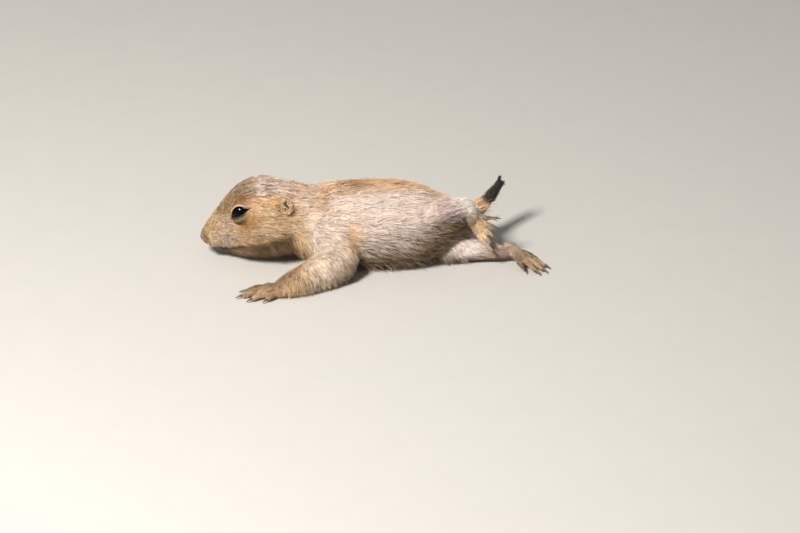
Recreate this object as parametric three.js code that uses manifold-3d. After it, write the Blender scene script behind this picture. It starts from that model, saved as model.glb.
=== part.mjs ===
// Life-size model of a black-tailed prairie dog pup, about five weeks old, lying stretched out on its
// belly. The head and chest lie flat, the near foreleg reaches out to the side, and the
// hindquarters are rolled so that one hind foot hangs over the other. Millimetres, +Z up. The head is
// towards -X and the animal's left side towards -Y. The solids are as large as the coat, out to the
// tips of the short fur. They stand on z = 0, on flats where the body presses on the ground.

import * as THREE from "three";
import { LoftGeometry } from "three/addons/geometries/LoftGeometry.js";
import { mergeVertices } from "three/addons/utils/BufferGeometryUtils.js";
import Module from "manifold-3d";

const wasm = await Module();
wasm.setup();

// Driving sizes
const GAP = 0.3; // kept between neighbouring pieces
const BODY_LINE = new THREE.Vector3(0.9, 6.9, 0); // the spine's line, from the middle of the bounding box
const HEAD_CENTRE = new THREE.Vector3(-60, 0.8, 25);
const HEAD_PITCH = 20; // degrees that the muzzle points down
const HEAD_YAW = 3; // degrees that the muzzle turns to the animal's right
const HEAD_ROLL = 4; // degrees that the head leans over to the animal's right
const EYE_RADIUS = 6.4;
const EAR_RADIUS = 4.1;
const CLAW_LENGTH_FORE = 4.2;
const CLAW_LENGTH_HIND = 3.6;
const TAIL_LOCKS = 12;

const UP = new THREE.Vector3(0, 0, 1);
const AHEAD = new THREE.Vector3(1, 0, 0);
const SMALLEST = 0.12; // of a section's half width, so that no ring closes to a point

const vector = (p) => new THREE.Vector3(p[0], p[1], p[2]);
const radians = THREE.MathUtils.degToRad;

// Solids from geometries, and back

function solid(geometry) {
  const bare = new THREE.BufferGeometry();
  bare.setAttribute("position", geometry.getAttribute("position"));
  if (geometry.index) bare.setIndex(geometry.index);
  const merged = mergeVertices(bare, 1e-4);
  const triVerts = new Uint32Array(merged.index.array);
  const vertProperties = new Float32Array(merged.attributes.position.array);
  const made = new wasm.Manifold(new wasm.Mesh({ numProp: 3, vertProperties, triVerts }));
  if (made.volume() > 0) return made;
  for (let i = 0; i < triVerts.length; i += 3) {
    [triVerts[i], triVerts[i + 1]] = [triVerts[i + 1], triVerts[i]];
  }
  return new wasm.Manifold(new wasm.Mesh({ numProp: 3, vertProperties, triVerts }));
}

function geometryOf(made) {
  const { numProp, vertProperties, triVerts } = made.getMesh();
  const count = vertProperties.length / numProp;
  const places = new Float32Array(count * 3);
  for (let i = 0; i < count; i++) places.set(vertProperties.subarray(i * numProp, i * numProp + 3), i * 3);
  const geometry = new THREE.BufferGeometry();
  geometry.setAttribute("position", new THREE.BufferAttribute(places, 3));
  geometry.setIndex(new THREE.BufferAttribute(triVerts, 1));
  geometry.computeVertexNormals();
  return geometry;
}

const joined = (pieces) => pieces.reduce((whole, piece) => whole.add(piece));
const cutBy = (whole, cutters) => cutters.reduce((left, cutter) => left.subtract(cutter), whole);

function largest(made) {
  return made.decompose().reduce((a, b) => (b.volume() > a.volume() ? b : a));
}

// A round body through stations [x, y, z, half width, half height, half height below]. The width lies
// across the reference direction. A fullness under 1 squares the section a little. A grown body is
// larger all round, to keep the gap where it cuts.

const bulged = (share, fullness) => Math.sign(share) * Math.abs(share) ** fullness;

function loft(stations, options = {}) {
  const { sides = 16, rings = 10, reference = UP, fullness = 1, grow = 0, place = null } = options;
  const spine = new THREE.CatmullRomCurve3(stations.map(vector));
  const sizes = new THREE.CatmullRomCurve3(
    stations.map((s) => new THREE.Vector3(s[3], s[4], s[5] ?? s[4])),
    false,
    "catmullrom",
    0.5,
  );
  const sections = [];
  for (let i = 0; i <= rings; i++) {
    const t = i / rings;
    const along = spine.getTangent(t);
    const across = new THREE.Vector3().crossVectors(reference, along).normalize();
    const upward = new THREE.Vector3().crossVectors(along, across);
    const centre = spine.getPoint(t);
    if (i === 0) centre.addScaledVector(along, -grow);
    if (i === rings) centre.addScaledVector(along, grow);
    const size = sizes.getPoint(t);
    const wide = Math.max(size.x, SMALLEST) + grow;
    const above = Math.max(size.y, SMALLEST) + grow;
    const below = Math.max(size.z, SMALLEST) + grow;
    const ring = [];
    for (let j = 0; j < sides; j++) {
      const turn = (2 * Math.PI * (j + 0.5)) / sides;
      const sideways = bulged(Math.cos(turn), fullness);
      const rise = bulged(Math.sin(turn), fullness);
      ring.push(
        centre
          .clone()
          .addScaledVector(across, sideways * wide)
          .addScaledVector(upward, rise * (rise > 0 ? above : below)),
      );
    }
    sections.push(ring);
  }
  const geometry = new LoftGeometry(sections, { capStart: true, capEnd: true });
  if (place) geometry.applyMatrix4(place);
  return solid(geometry);
}

function ellipsoid(centre, radii, { wide = 16, high = 10, place = null, turn = null, grow = 0 } = {}) {
  const geometry = new THREE.SphereGeometry(1, wide, high);
  geometry.rotateX(Math.PI / 2);
  geometry.scale(radii[0] + grow, radii[1] + grow, radii[2] + grow);
  if (turn) geometry.applyMatrix4(new THREE.Matrix4().makeRotationFromEuler(turn));
  geometry.translate(...centre);
  if (place) geometry.applyMatrix4(place);
  return solid(geometry);
}

// What lies under the ground is cut off, which leaves the flats that the body rests on
const GROUND_SIZE = 400;
const ground = solid(
  new THREE.BoxGeometry(GROUND_SIZE, GROUND_SIZE, GROUND_SIZE).translate(0, 0, -GROUND_SIZE / 2),
);
const grounded = (made) => largest(made.subtract(ground));

// Torso and neck

const TORSO = [
  [-38, 0, 23.5, 15.4, 15.4],
  [-34.5, 0, 22.9, 18.8, 18.8],
  [-28, 0, 21.8, 21, 21],
  [-18, 0, 20.7, 23.2, 22.4],
  [-6, 0, 20.3, 24.6, 22.9],
  [8, 0.4, 20.4, 24.8, 22.5],
  [20, 1.2, 19.8, 23.4, 20.9],
  [30, 2.6, 18.8, 20, 18, 16.6],
  [39, 5.2, 18.2, 14.4, 14.6, 9.4],
  [46.5, 8, 18.2, 11.2, 11.2, 8.8],
  [51.5, 10, 18.8, 7.8, 7.6, 7],
  [54, 11, 19.4, 4, 4],
];
const NECK = [
  [-58, 0.6, 24.6, 13, 14],
  [-51, 0.2, 25.6, 16.8, 19.4, 17],
  [-44, 0, 25.2, 17.8, 18, 17.4],
  [-38, 0, 23.9, 18.8, 17.8, 18.2],
  [-32, 0, 22.4, 19.2, 18.6, 19],
  [-27, 0, 21.6, 16, 16],
];

// Head, in its own frame: +X to the nose, +Y to the animal's left, +Z to the crown

const HEAD = [
  // [along, 0, level, half width, height above the level, depth below it]
  [-20.5, 0, -1, 8, 9.5, 7],
  [-18.5, 0, -1.5, 13.4, 15.6, 12],
  [-15.5, 0, -2, 16.4, 19.6, 14.6],
  [-10, 0, -3, 18.8, 23.4, 15.8],
  [-3, 0, -3.6, 19.6, 25.2, 16],
  [4, 0, -3.6, 18.8, 25.2, 15.4],
  [11, 0, -3.4, 16.6, 23.4, 14.4],
  [17, 0, -3.2, 13.8, 20, 13],
  [23, 0, -3, 10.8, 15.6, 10.8],
  [28.5, 0, -2.8, 8.2, 11.4, 8],
  [33, 0, -2.8, 6, 7.8, 5.4],
  [36, 0, -2.8, 4.1, 4.8, 3.7],
  [37.4, 0, -3, 2.2, 2.2, 2.2],
];
const JAW = [
  [4, 0, -12.6, 9, 4.2],
  [14, 0, -12.4, 8.4, 4.2],
  [22, 0, -11.6, 6.4, 3.8],
  [27, 0, -10.4, 4.4, 2.8],
  [30, 0, -9.4, 2.2, 1.6],
];
// One half of the line of the mouth, from its corner forward
const MOUTH = [
  [15.8, 13, -8.8, 0.3, 1],
  [20, 10.6, -9.3, 0.5, 2.2],
  [26, 7.6, -9, 0.55, 2.6],
  [31, 5.2, -8.1, 0.55, 2.4],
  [34.4, 2.8, -7.2, 0.55, 2],
  [36.2, -0.8, -6.8, 0.4, 1.6],
];
const EYE_PLACE = [10.4, 13.7, 11.5];
const EYE_SET_IN = 5.2; // from the surface of the head to the middle of the eye
const EAR_PLACE = [-15.3, 14.9, 6.9];
const RIGHT_EAR_DROP = 3.8; // the right ear lies a little lower in the fur

const headPlace = new THREE.Matrix4()
  .makeTranslation(HEAD_CENTRE)
  .multiply(new THREE.Matrix4().makeRotationZ(Math.PI - radians(HEAD_YAW)))
  .multiply(new THREE.Matrix4().makeRotationY(radians(HEAD_PITCH)))
  .multiply(new THREE.Matrix4().makeRotationX(radians(HEAD_ROLL)));
const inHead = { place: headPlace };
const BOTH_SIDES = [1, -1];
const mirrored = (p, side) => [p[0], p[1] * side, p[2]];

const eyeDirection = (side) => new THREE.Vector3(0.3, 0.78 * side, 0.55).normalize();
function eyeCentre(side) {
  return vector(mirrored(EYE_PLACE, side)).addScaledVector(eyeDirection(side), -EYE_SET_IN);
}

function eyeball(side, grow = 0) {
  const centre = eyeCentre(side);
  const radius = EYE_RADIUS;
  return ellipsoid(centre.toArray(), [radius, radius, radius], { wide: 18, high: 10, ...inHead, grow });
}

// The opening between the lids is an almond, a little below the middle of the eye
const OPENING = { wide: 5.9, high: 2.85, drop: 0.85 };
const almond = (across) => OPENING.high * Math.sqrt(Math.max(1 - across ** 2, 0)) * (1 - 0.4 * across ** 4);

function eyeAxes(side) {
  const out = eyeDirection(side);
  const level = new THREE.Vector3(0.93, -0.3 * side, -0.19).normalize();
  const forward = level.sub(out.clone().multiplyScalar(level.dot(out))).normalize();
  const upward = new THREE.Vector3().crossVectors(forward, out).multiplyScalar(-side);
  if (upward.z < 0) upward.negate();
  return { out, forward, upward };
}

// A place over the eyeball: forward and up from its middle, and lifted off its surface
function overEye(side, forward, upward, lift, edge = upward) {
  const axes = eyeAxes(side);
  const stand = Math.sqrt(Math.max(EYE_RADIUS ** 2 - forward ** 2 - edge ** 2, 5));
  return eyeCentre(side)
    .addScaledVector(axes.forward, forward)
    .addScaledVector(axes.upward, upward)
    .addScaledVector(axes.out, stand + lift)
    .toArray();
}

function eyeOpening(side) {
  const STEPS = 8;
  const stations = [];
  for (let i = 0; i <= STEPS; i++) {
    const across = -Math.cos((Math.PI * i) / STEPS);
    const place = overEye(side, OPENING.wide * across, -OPENING.drop, 0);
    stations.push([...place, almond(across), 4, 1.2]);
  }
  return loft(stations, { sides: 8, rings: 8, reference: eyeDirection(side), ...inHead });
}

// A lid is a ridge bent round the opening. The upper one is thin, and the lower one broad and full.
function lid(side, { lower }) {
  const way = lower ? -1 : 1;
  const BREADTH = lower ? 1.05 : 0.6;
  const STEPS = 8;
  const stations = [];
  for (let i = 0; i <= STEPS; i++) {
    const across = Math.cos((Math.PI * i) / STEPS);
    const full = Math.sin((Math.PI * i) / STEPS);
    const breadth = 0.35 + BREADTH * full;
    const edge = way * almond(across) - OPENING.drop;
    const place = overEye(side, (OPENING.wide + 0.35) * across, edge + way * breadth * full, 0.1, edge);
    stations.push([...place, breadth, 0.4 + 0.25 * full, 2]);
  }
  return loft(stations, { sides: 6, rings: 10, reference: eyeDirection(side), ...inHead });
}

// The mouth's line is a groove that runs round under the nose from both corners
function mouthGroove(side) {
  const stations = MOUTH.map(([x, y, z, high, deep]) => [x, y * side, z, deep, high]);
  return loft(stations, { sides: 4, rings: 8, ...inHead });
}

function nosePad(grow = 0) {
  return loft(
    [
      [32.8, 0, -0.8, 1.6, 1.4],
      [34.7, 0, -1.2, 2.9, 2.1],
      [36.5, 0, -1.8, 3, 2.2],
      [37.7, 0, -2.2, 1.7, 1.3],
    ],
    { sides: 12, rings: 4, grow, ...inHead },
  );
}

function nostril(side) {
  const turn = new THREE.Euler(0, 0.5, 0.55 * side);
  return ellipsoid([36.6, 2.35 * side, -1.9], [1.9, 0.62, 0.75], { wide: 8, high: 5, turn, ...inHead });
}

function skullAndFace(grow = 0) {
  const skull = loft(HEAD, { sides: 30, rings: 20, fullness: 0.92, grow, ...inHead });
  const jaw = loft(JAW, { sides: 14, rings: 7, grow, ...inHead });
  const padsAndBrows = BOTH_SIDES.flatMap((side) => [
    ellipsoid([28.6, 3.9 * side, -4.7], [6.4, 4.2, 4.1], { wide: 12, high: 8, grow, ...inHead }),
    ellipsoid([9.6, 8.6 * side, 12.9], [8.8, 4.8, 3.6], {
      wide: 12,
      high: 8,
      turn: new THREE.Euler(-0.5 * side, 0.45, 0),
      grow,
      ...inHead,
    }),
  ]);
  return joined([skull, jaw, ...padsAndBrows]);
}

function headBody() {
  const lids = BOTH_SIDES.flatMap((side) => [lid(side, { lower: false }), lid(side, { lower: true })]);
  const face = cutBy(skullAndFace(), BOTH_SIDES.map(eyeOpening));
  return cutBy(joined([face, ...lids]), BOTH_SIDES.map(mouthGroove));
}

// An ear is a low round cup with a rolled rim, open to the front and side

function earPlace(side) {
  const outward = new THREE.Vector3(0.24, 0.86 * side, 0.46).normalize();
  const turned = new THREE.Quaternion().setFromUnitVectors(UP, outward);
  const middle = vector(mirrored(EAR_PLACE, side));
  if (side < 0) middle.z -= RIGHT_EAR_DROP;
  return headPlace
    .clone()
    .multiply(new THREE.Matrix4().makeTranslation(middle))
    .multiply(new THREE.Matrix4().makeRotationFromQuaternion(turned));
}

function earBody(side, grow = 0) {
  const r = EAR_RADIUS;
  const profile = [
    [0, -3.2],
    [r * 0.62 + grow, -3.0 - grow],
    [r * 0.86 + grow, -1.2],
    [r * 0.98 + grow, 0.6],
    [r * 1.02 + grow, 1.6],
    [r * 0.93, 2.2 + grow],
    [r * 0.78, 1.9 + grow],
    [r * 0.68, 0.7 + grow],
    [r * 0.45, -0.7 + grow],
    [0, -1.2 + grow],
  ].map(([x, y]) => new THREE.Vector2(x, y));
  profile[0].y -= grow;
  const geometry = new THREE.LatheGeometry(profile, 16);
  geometry.rotateX(Math.PI / 2);
  // taller than wide, its rear edge raised and its front edge sunk in the fur
  const p = geometry.getAttribute("position");
  for (let i = 0; i < p.count; i++) {
    const rear = -p.getX(i) / r;
    const lift = p.getZ(i) > -1 ? 1.15 * rear : 0;
    p.setXYZ(i, p.getX(i) * 0.84, p.getY(i) * 1.1, p.getZ(i) + lift);
  }
  geometry.applyMatrix4(earPlace(side));
  return solid(geometry);
}

// Limbs. Each is a chain of round bodies, from the root out to the foot

const LEFT_UPPER_ARM = [
  [-28, -5, 30, 9, 9],
  [-26, -12, 27.5, 10.4, 10.6, 11],
  [-23, -18.5, 22, 9.4, 10.8, 12.4],
  [-20, -24, 15, 8.6, 9.6, 13],
  [-18.4, -27, 10, 8, 8.4, 12],
  [-18, -28, 6.5, 5.5, 6, 9],
];
const LEFT_FOREARM = [
  [-13.5, -26.5, 8.6, 4.6, 5],
  [-17.5, -28, 8.8, 7.4, 9, 7.6],
  [-25, -32.5, 8.4, 8, 12.6, 7.5],
  [-34, -38, 7.3, 7.5, 11.4, 7],
  [-43, -43, 6.2, 6.2, 8, 6],
  [-49.5, -45.6, 5.1, 4.9, 5.4, 4.6],
  [-52.5, -46.4, 4.6, 4, 3.8, 3.6],
];
const RIGHT_UPPER_ARM = [
  [-28, 5, 24, 9, 9],
  [-27, 13, 21.5, 10, 10.4],
  [-25, 19, 16.5, 9, 10],
  [-22.5, 24.5, 11.5, 8, 8.6],
  [-21.5, 27, 8, 6.5, 6.6, 8],
  [-21, 28, 6, 4, 4, 5.6],
];
const RIGHT_FOREARM = [
  [-17, 27, 8, 4.6, 4.8],
  [-21, 27.6, 8.2, 7, 8.4, 7.2],
  [-28.5, 28.8, 7.6, 7.2, 10.8, 7],
  [-37, 30, 6.6, 6.4, 9, 6.2],
  [-45, 31, 5.6, 5.3, 6.2, 5.2],
  [-50.5, 31.8, 4.8, 4.5, 4.2],
  [-53.5, 32.2, 4.3, 3.8, 3.4],
];
const LEFT_THIGH = [
  [43, 3, 22.2, 8, 7],
  [39.5, -0.5, 24, 11, 10.2],
  [35, -5, 26.2, 11.4, 10.6],
  [30.5, -9.5, 28.4, 9.6, 9],
  [27.5, -12.5, 29.8, 6.8, 6.6],
  [26, -14, 30.6, 4, 4],
];
const LEFT_SHANK = [
  [25.5, -12.6, 28.6, 4.8, 4.8],
  [29, -12.2, 29.4, 7.4, 7.4],
  [36, -8.4, 30.6, 7.6, 7.4],
  [43, -4.4, 30.8, 6.4, 6.4],
  [48.6, -1.2, 30, 5.4, 5.3],
  [51.8, 0.2, 28.6, 4, 4],
];
const RIGHT_THIGH = [
  [37, 6, 11.4, 7, 6],
  [38, 3, 10.5, 9.4, 8.8],
  [39, 0, 9.6, 10, 9.4],
  [40, -3, 8.7, 9.2, 8.6],
  [41, -6, 7.8, 6.6, 6.4],
  [41.6, -8, 7.2, 3.6, 3.6],
];
const RIGHT_SHANK = [
  [37.5, -5.6, 7.2, 4.6, 4.8],
  [41.5, -5.4, 7.2, 6.9, 6.8],
  [49, -5.2, 6.8, 6.3, 6.3],
  [58, -5.4, 6.1, 5.2, 5.2],
  [66, -5.6, 5.9, 4.6, 4.6],
  [72, -5, 6.6, 4.4, 4.4],
  [75, -5.2, 6.6, 3.2, 3.2],
];

// A foot: where its ball lies, which way it points, which way its toes fan out, and its toes as
// [place across, place back, length, splay in degrees]
const FOREFOOT_TOES = [
  [-4.4, 4.8, 3.6, -34],
  [-4.2, 0.6, 8.8, -18],
  [-1.5, 0, 11.6, -5],
  [1.6, 0.6, 8.8, 9],
  [4.2, 4, 5.2, 24],
];
const HINDFOOT_TOES = [
  [-3.9, 5.4, 6.4, -26],
  [-2.6, 0.8, 10.4, -11],
  [-0.4, 0, 11.4, 0],
  [1.9, 0.6, 10.8, 11],
  [3.9, 3.6, 7.6, 27],
];
const HANGING_TOES = [
  [-3.7, 1, 14.6, -3],
  [-1.6, 0, 9.8, -2],
  [0.7, 0.8, 9.6, 6],
  [2.5, 2.4, 8.4, 22],
  [3.8, 4.4, 8.6, 38],
];
const FEET = {
  left_forefoot: {
    wrist: [-50.5, -45.8, 4.6],
    ball: [-59.3, -46.4, 3],
    ahead: [-0.92, -0.39, 0],
    across: [0.39, -0.92, 0],
    half_wide: 5.5,
    half_high: 3,
    toes: FOREFOOT_TOES,
    toe_radius: 1.75,
    claw: CLAW_LENGTH_FORE,
    droop: 1.5,
  },
  right_forefoot: {
    wrist: [-51.5, 32, 4.4],
    ball: [-59.5, 33, 3],
    ahead: [-0.98, 0.18, 0],
    across: [0.18, 0.98, 0],
    half_wide: 5.5,
    half_high: 3,
    toes: FOREFOOT_TOES,
    toe_radius: 1.75,
    claw: CLAW_LENGTH_FORE,
    droop: 1.5,
  },
  left_hindfoot: {
    wrist: [50.6, 0, 28.2],
    ball: [55.6, -7, 21.4],
    ahead: [0.68, -0.5, -0.52],
    across: [0.8, 0.1, 0.6],
    half_wide: 4.6,
    half_high: 2.7,
    toes: HANGING_TOES,
    toe_radius: 1.4,
    claw: CLAW_LENGTH_HIND,
    droop: 1,
  },
  right_hindfoot: {
    wrist: [72, -5.2, 6.6],
    ball: [80.6, -12.4, 4.6],
    ahead: [0.76, -0.62, -0.14],
    across: [-0.62, -0.78, 0.05],
    half_wide: 4.6,
    half_high: 2.8,
    toes: HINDFOOT_TOES,
    toe_radius: 1.6,
    claw: CLAW_LENGTH_HIND,
    droop: 1,
  },
};

// Directions of a foot: ahead, across to its outer side, and up from its sole
function footFrame(foot) {
  const ahead = vector(foot.ahead).normalize();
  const across = vector(foot.across);
  across.addScaledVector(ahead, -across.dot(ahead)).normalize();
  const upward = new THREE.Vector3().crossVectors(ahead, across);
  if (upward.z < 0) upward.negate();
  return { ahead, across, upward };
}

// The path of one toe, from inside the foot to its tip: it rises to the knuckle, then dips
function toePath(foot, index) {
  const { ahead, across, upward } = footFrame(foot);
  const [sideways, back, length, splay] = foot.toes[index];
  const way = ahead
    .clone()
    .multiplyScalar(Math.cos(radians(splay)))
    .addScaledVector(across, Math.sin(radians(splay)));
  const root = vector(foot.ball).addScaledVector(across, sideways).addScaledVector(ahead, -back);
  const at = (share, rise) =>
    root
      .clone()
      .addScaledVector(way, length * share)
      .addScaledVector(upward, rise);
  return { way, upward, points: [at(-0.3, -0.1), at(0.2, 0.3), at(0.6, 0.1 - foot.droop * 0.3), at(1, -foot.droop)] };
}

function toe(foot, index, grow) {
  const { points, upward } = toePath(foot, index);
  const shares = [1, 1.03, 0.92, 0.66];
  const stations = points.map((p, i) => {
    const radius = foot.toe_radius * shares[i];
    return [...p.toArray(), radius, radius * 0.95];
  });
  return loft(stations, { sides: 7, rings: 4, reference: upward, grow });
}

function footBody(foot, grow = 0) {
  const { across, upward, ahead } = footFrame(foot);
  const wrist = vector(foot.wrist);
  const ball = vector(foot.ball);
  const middle = wrist.clone().lerp(ball, 0.55).addScaledVector(upward, 0.3);
  const front = ball.clone().addScaledVector(ahead, 2.6).addScaledVector(upward, -0.4);
  const stations = [
    [...wrist.toArray(), foot.half_wide * 0.72, foot.half_high * 1.15],
    [...middle.toArray(), foot.half_wide * 0.86, foot.half_high * 1.1],
    [...ball.toArray(), foot.half_wide, foot.half_high],
    [...front.toArray(), foot.half_wide * 0.74, foot.half_high * 0.7],
  ];
  const palm = loft(stations, { sides: 12, rings: 5, reference: upward, grow });
  return joined([palm, ...foot.toes.map((_, index) => toe(foot, index, grow))]);
}

// A claw curves down from the end of its toe
function clawBody(foot, index) {
  const { points, way, upward } = toePath(foot, index);
  const tip = points[points.length - 1];
  const size = foot.claw * (index === 0 ? 0.75 : 1);
  const at = (out, rise) => tip.clone().addScaledVector(way, out).addScaledVector(upward, rise);
  const stations = [
    [...at(-1.1, 0.35).toArray(), 0.66, 0.8],
    [...at(size * 0.25, 0.45).toArray(), 0.62, 0.78],
    [...at(size * 0.65, 0.1).toArray(), 0.45, 0.55],
    [...at(size, -0.5).toArray(), 0.2, 0.24],
  ];
  return loft(stations, { sides: 6, rings: 4, reference: upward });
}

// Tail: a round base, and a black brush that ends in flat, tapered locks

const TAIL_BASE = [
  [47, 8, 18.6, 5.6, 5.8],
  [51.5, 11.6, 20.2, 5.2, 5.4],
  [55.5, 15.2, 21.6, 4.2, 4.4],
  [58.4, 18.2, 22.8, 3.4, 3.6],
  [60.2, 20.2, 23.8, 2.4, 2.5],
];
const TAIL_TIP = [
  [57, 16.8, 22.3, 2.4, 2.5],
  [58.8, 18.7, 23.1, 3, 3.1],
  [61.6, 22, 24.9, 3.3, 3.4],
  [64.2, 25, 27, 3, 3.1],
  [66.2, 27.4, 29, 2, 2.1],
  [67.4, 28.8, 30.4, 1, 1],
];

function tailLocks(random) {
  const spine = new THREE.CatmullRomCurve3(TAIL_TIP.map(vector));
  const locks = [];
  for (let i = 0; i < TAIL_LOCKS; i++) {
    const share = 0.3 + 0.44 * (i / TAIL_LOCKS);
    const turn = i * 2.4 + random() * 0.5;
    const along = spine.getTangent(share);
    const across = new THREE.Vector3().crossVectors(UP, along).normalize();
    const upward = new THREE.Vector3().crossVectors(along, across);
    const out = across.clone().multiplyScalar(Math.cos(turn)).addScaledVector(upward, Math.sin(turn));
    const root = spine.getPoint(share);
    const length = 4.6 + 1.2 * random();
    const at = (ahead, away) => root.clone().addScaledVector(along, ahead).addScaledVector(out, away);
    const stations = [
      [...at(0, 1.2).toArray(), 0.9, 0.6],
      [...at(length * 0.45, 2.7).toArray(), 1.1, 0.55],
      [...at(length, 2).toArray(), 0.3, 0.25],
    ];
    locks.push(loft(stations, { sides: 5, rings: 3, reference: out }));
  }
  return locks;
}

// A repeatable draw of numbers from 0 to 1
function seeded(seed) {
  let state = seed;
  return () => {
    state = (state * 1664525 + 1013904223) % 4294967296;
    return state / 4294967296;
  };
}

// Every piece in turn gives way to the pieces before it, and keeps the gap from them

const pieces = new Map();
const taken = [];

function keep(name, make, makeGrown = make) {
  pieces.set(name, grounded(cutBy(make(), taken)));
  taken.push(makeGrown(GAP));
}

for (const side of BOTH_SIDES) {
  const name = side > 0 ? "left" : "right";
  keep(`${name}_eye`, (grow) => eyeball(side, grow));
  keep(`${name}_ear`, (grow) => earBody(side, grow));
}
keep("nose", () => cutBy(nosePad(), BOTH_SIDES.map(nostril)), nosePad);
keep("head", headBody, skullAndFace);
keep("torso", (grow) => loft(TORSO, { sides: 32, rings: 20, fullness: 0.9, grow }));
keep("neck", (grow) => loft(NECK, { sides: 28, rings: 8, grow }));

const LIMBS = {
  left_upper_arm: LEFT_UPPER_ARM,
  right_upper_arm: RIGHT_UPPER_ARM,
  left_thigh: LEFT_THIGH,
  right_thigh: RIGHT_THIGH,
  left_forearm: LEFT_FOREARM,
  right_forearm: RIGHT_FOREARM,
  left_shank: LEFT_SHANK,
  right_shank: RIGHT_SHANK,
};
for (const [name, stations] of Object.entries(LIMBS)) {
  const reference = name.includes("upper") || name.includes("thigh") ? AHEAD : UP;
  keep(name, (grow) => loft(stations, { sides: 16, rings: 8, reference, grow }));
}
keep("tail_base", (grow) => loft(TAIL_BASE, { sides: 14, rings: 6, grow }));
const brush = (grow) => joined([loft(TAIL_TIP, { sides: 12, rings: 7, grow }), ...tailLocks(seeded(7))]);
keep("tail_tip", brush);
for (const [name, foot] of Object.entries(FEET)) keep(name, (grow) => footBody(foot, grow));
for (const [name, foot] of Object.entries(FEET)) {
  foot.toes.forEach((_, index) => keep(`${name}_claw_${index + 1}`, () => clawBody(foot, index)));
}

// The model

const FUR = { color: 0xc9a883, roughness: 0.95, metalness: 0 };
const COLOURS = {
  nose: { color: 0x5b4038, roughness: 0.5, metalness: 0 },
  eye: { color: 0x120c0a, roughness: 0.08, metalness: 0 },
  ear: { color: 0xc59a72, roughness: 0.9, metalness: 0 },
  claw: { color: 0x8a7a66, roughness: 0.45, metalness: 0 },
  tail_tip: { color: 0x2a2320, roughness: 0.95, metalness: 0 },
};
const finishOf = (name) => COLOURS[Object.keys(COLOURS).find((key) => name.includes(key))] ?? FUR;

const pup = new THREE.Group();
pup.name = "prairie_dog_pup";
pup.position.copy(BODY_LINE);
for (const [name, made] of pieces) {
  const mesh = new THREE.Mesh(geometryOf(made), new THREE.MeshStandardMaterial(finishOf(name)));
  mesh.name = name;
  pup.add(mesh);
}

export default pup;
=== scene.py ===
"""A black-tailed prairie dog pup lying stretched out on its belly, as a life-size model.

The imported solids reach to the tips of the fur. Here one skin is drawn from them and sunk by the
depth of the coat, and tufts of short fur are laid over it from nose to tail. Everything is still
and rides on the one body of the frame.
"""

from math import cos, pi, radians, sin

import bpy
import numpy as np
from mathutils import Matrix, Vector
from mathutils.bvhtree import BVHTree


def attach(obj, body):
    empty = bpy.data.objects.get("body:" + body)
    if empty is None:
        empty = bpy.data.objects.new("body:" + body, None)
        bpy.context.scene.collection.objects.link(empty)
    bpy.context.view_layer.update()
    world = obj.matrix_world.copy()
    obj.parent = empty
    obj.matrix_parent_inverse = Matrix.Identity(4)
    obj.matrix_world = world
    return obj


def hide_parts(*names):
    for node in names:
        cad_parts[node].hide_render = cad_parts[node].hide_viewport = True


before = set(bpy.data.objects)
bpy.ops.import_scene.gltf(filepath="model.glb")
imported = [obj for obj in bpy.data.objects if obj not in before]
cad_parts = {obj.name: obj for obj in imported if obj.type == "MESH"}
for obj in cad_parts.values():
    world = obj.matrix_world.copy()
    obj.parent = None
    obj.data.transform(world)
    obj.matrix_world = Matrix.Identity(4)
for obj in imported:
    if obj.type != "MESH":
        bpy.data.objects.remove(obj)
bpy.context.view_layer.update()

MM = 0.001
BODY_LINE = Vector((0.9, 6.9, 0)) * MM  # where the spine's line lies in the frame
HEAD_CENTRE = Vector((-60, 0.8, 25)) * MM
HEAD_TURN = (
    Matrix.Rotation(pi - radians(3), 4, "Z")
    @ Matrix.Rotation(radians(20), 4, "Y")
    @ Matrix.Rotation(radians(4), 4, "X")
)
HEAD_PLACE = Matrix.Translation(HEAD_CENTRE + BODY_LINE) @ HEAD_TURN

VOXEL = 0.44 * MM  # of the skin before it is thinned out
KEPT_SHARE = 0.32  # of the skin's triangles when it is thinned out
FINE_VOXEL = 0.22 * MM  # of the ears and the nose
TUFTS = 226_000
TUFTS_IN_A_PIECE = 33_000  # of six triangles each
PATCH = 0.003  # width of a tuft's patch on the skin's unwrap
COLOUR_LAYER = "fur_colour"
BAKED_MAP = "OFBake"  # the name of the unwrap of each piece
TINY = 1e-9  # added to lengths, so that none is zero where it divides
chance = np.random.default_rng(11)


# Small helpers


def body_point(x, y, z):
    """A place in the frame from millimetres along, across and above the line of the body."""
    return Vector((x, y, z)) * MM + BODY_LINE


def head_point(x, y, z):
    """A place in the frame from millimetres towards the nose, the animal's left and the crown."""
    return HEAD_PLACE @ (Vector((x, y, z)) * MM)


def body_places(points):
    """Places in the frame as millimetres along, across and above the line of the body."""
    return (points - np.array(BODY_LINE)) / MM


def in_head(points):
    """Places in the frame as millimetres towards the nose, the left and the crown."""
    back = np.array(HEAD_PLACE.inverted())
    return (points @ back[:3, :3].T + back[:3, 3]) / MM


def from_head(head):
    """Places in the head's millimetres as places in the frame."""
    place = np.array(HEAD_PLACE)
    return (head * MM) @ place[:3, :3].T + place[:3, 3]


def smooth_step(low, high, value):
    share = np.clip((value - low) / (high - low), 0, 1)
    return share * share * (3 - 2 * share)


def deselect_all():
    if bpy.context.object and bpy.context.object.mode != "OBJECT":
        bpy.ops.object.mode_set(mode="OBJECT")
    bpy.ops.object.select_all(action="DESELECT")


def only(piece):
    deselect_all()
    piece.select_set(True)
    bpy.context.view_layer.objects.active = piece


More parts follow.
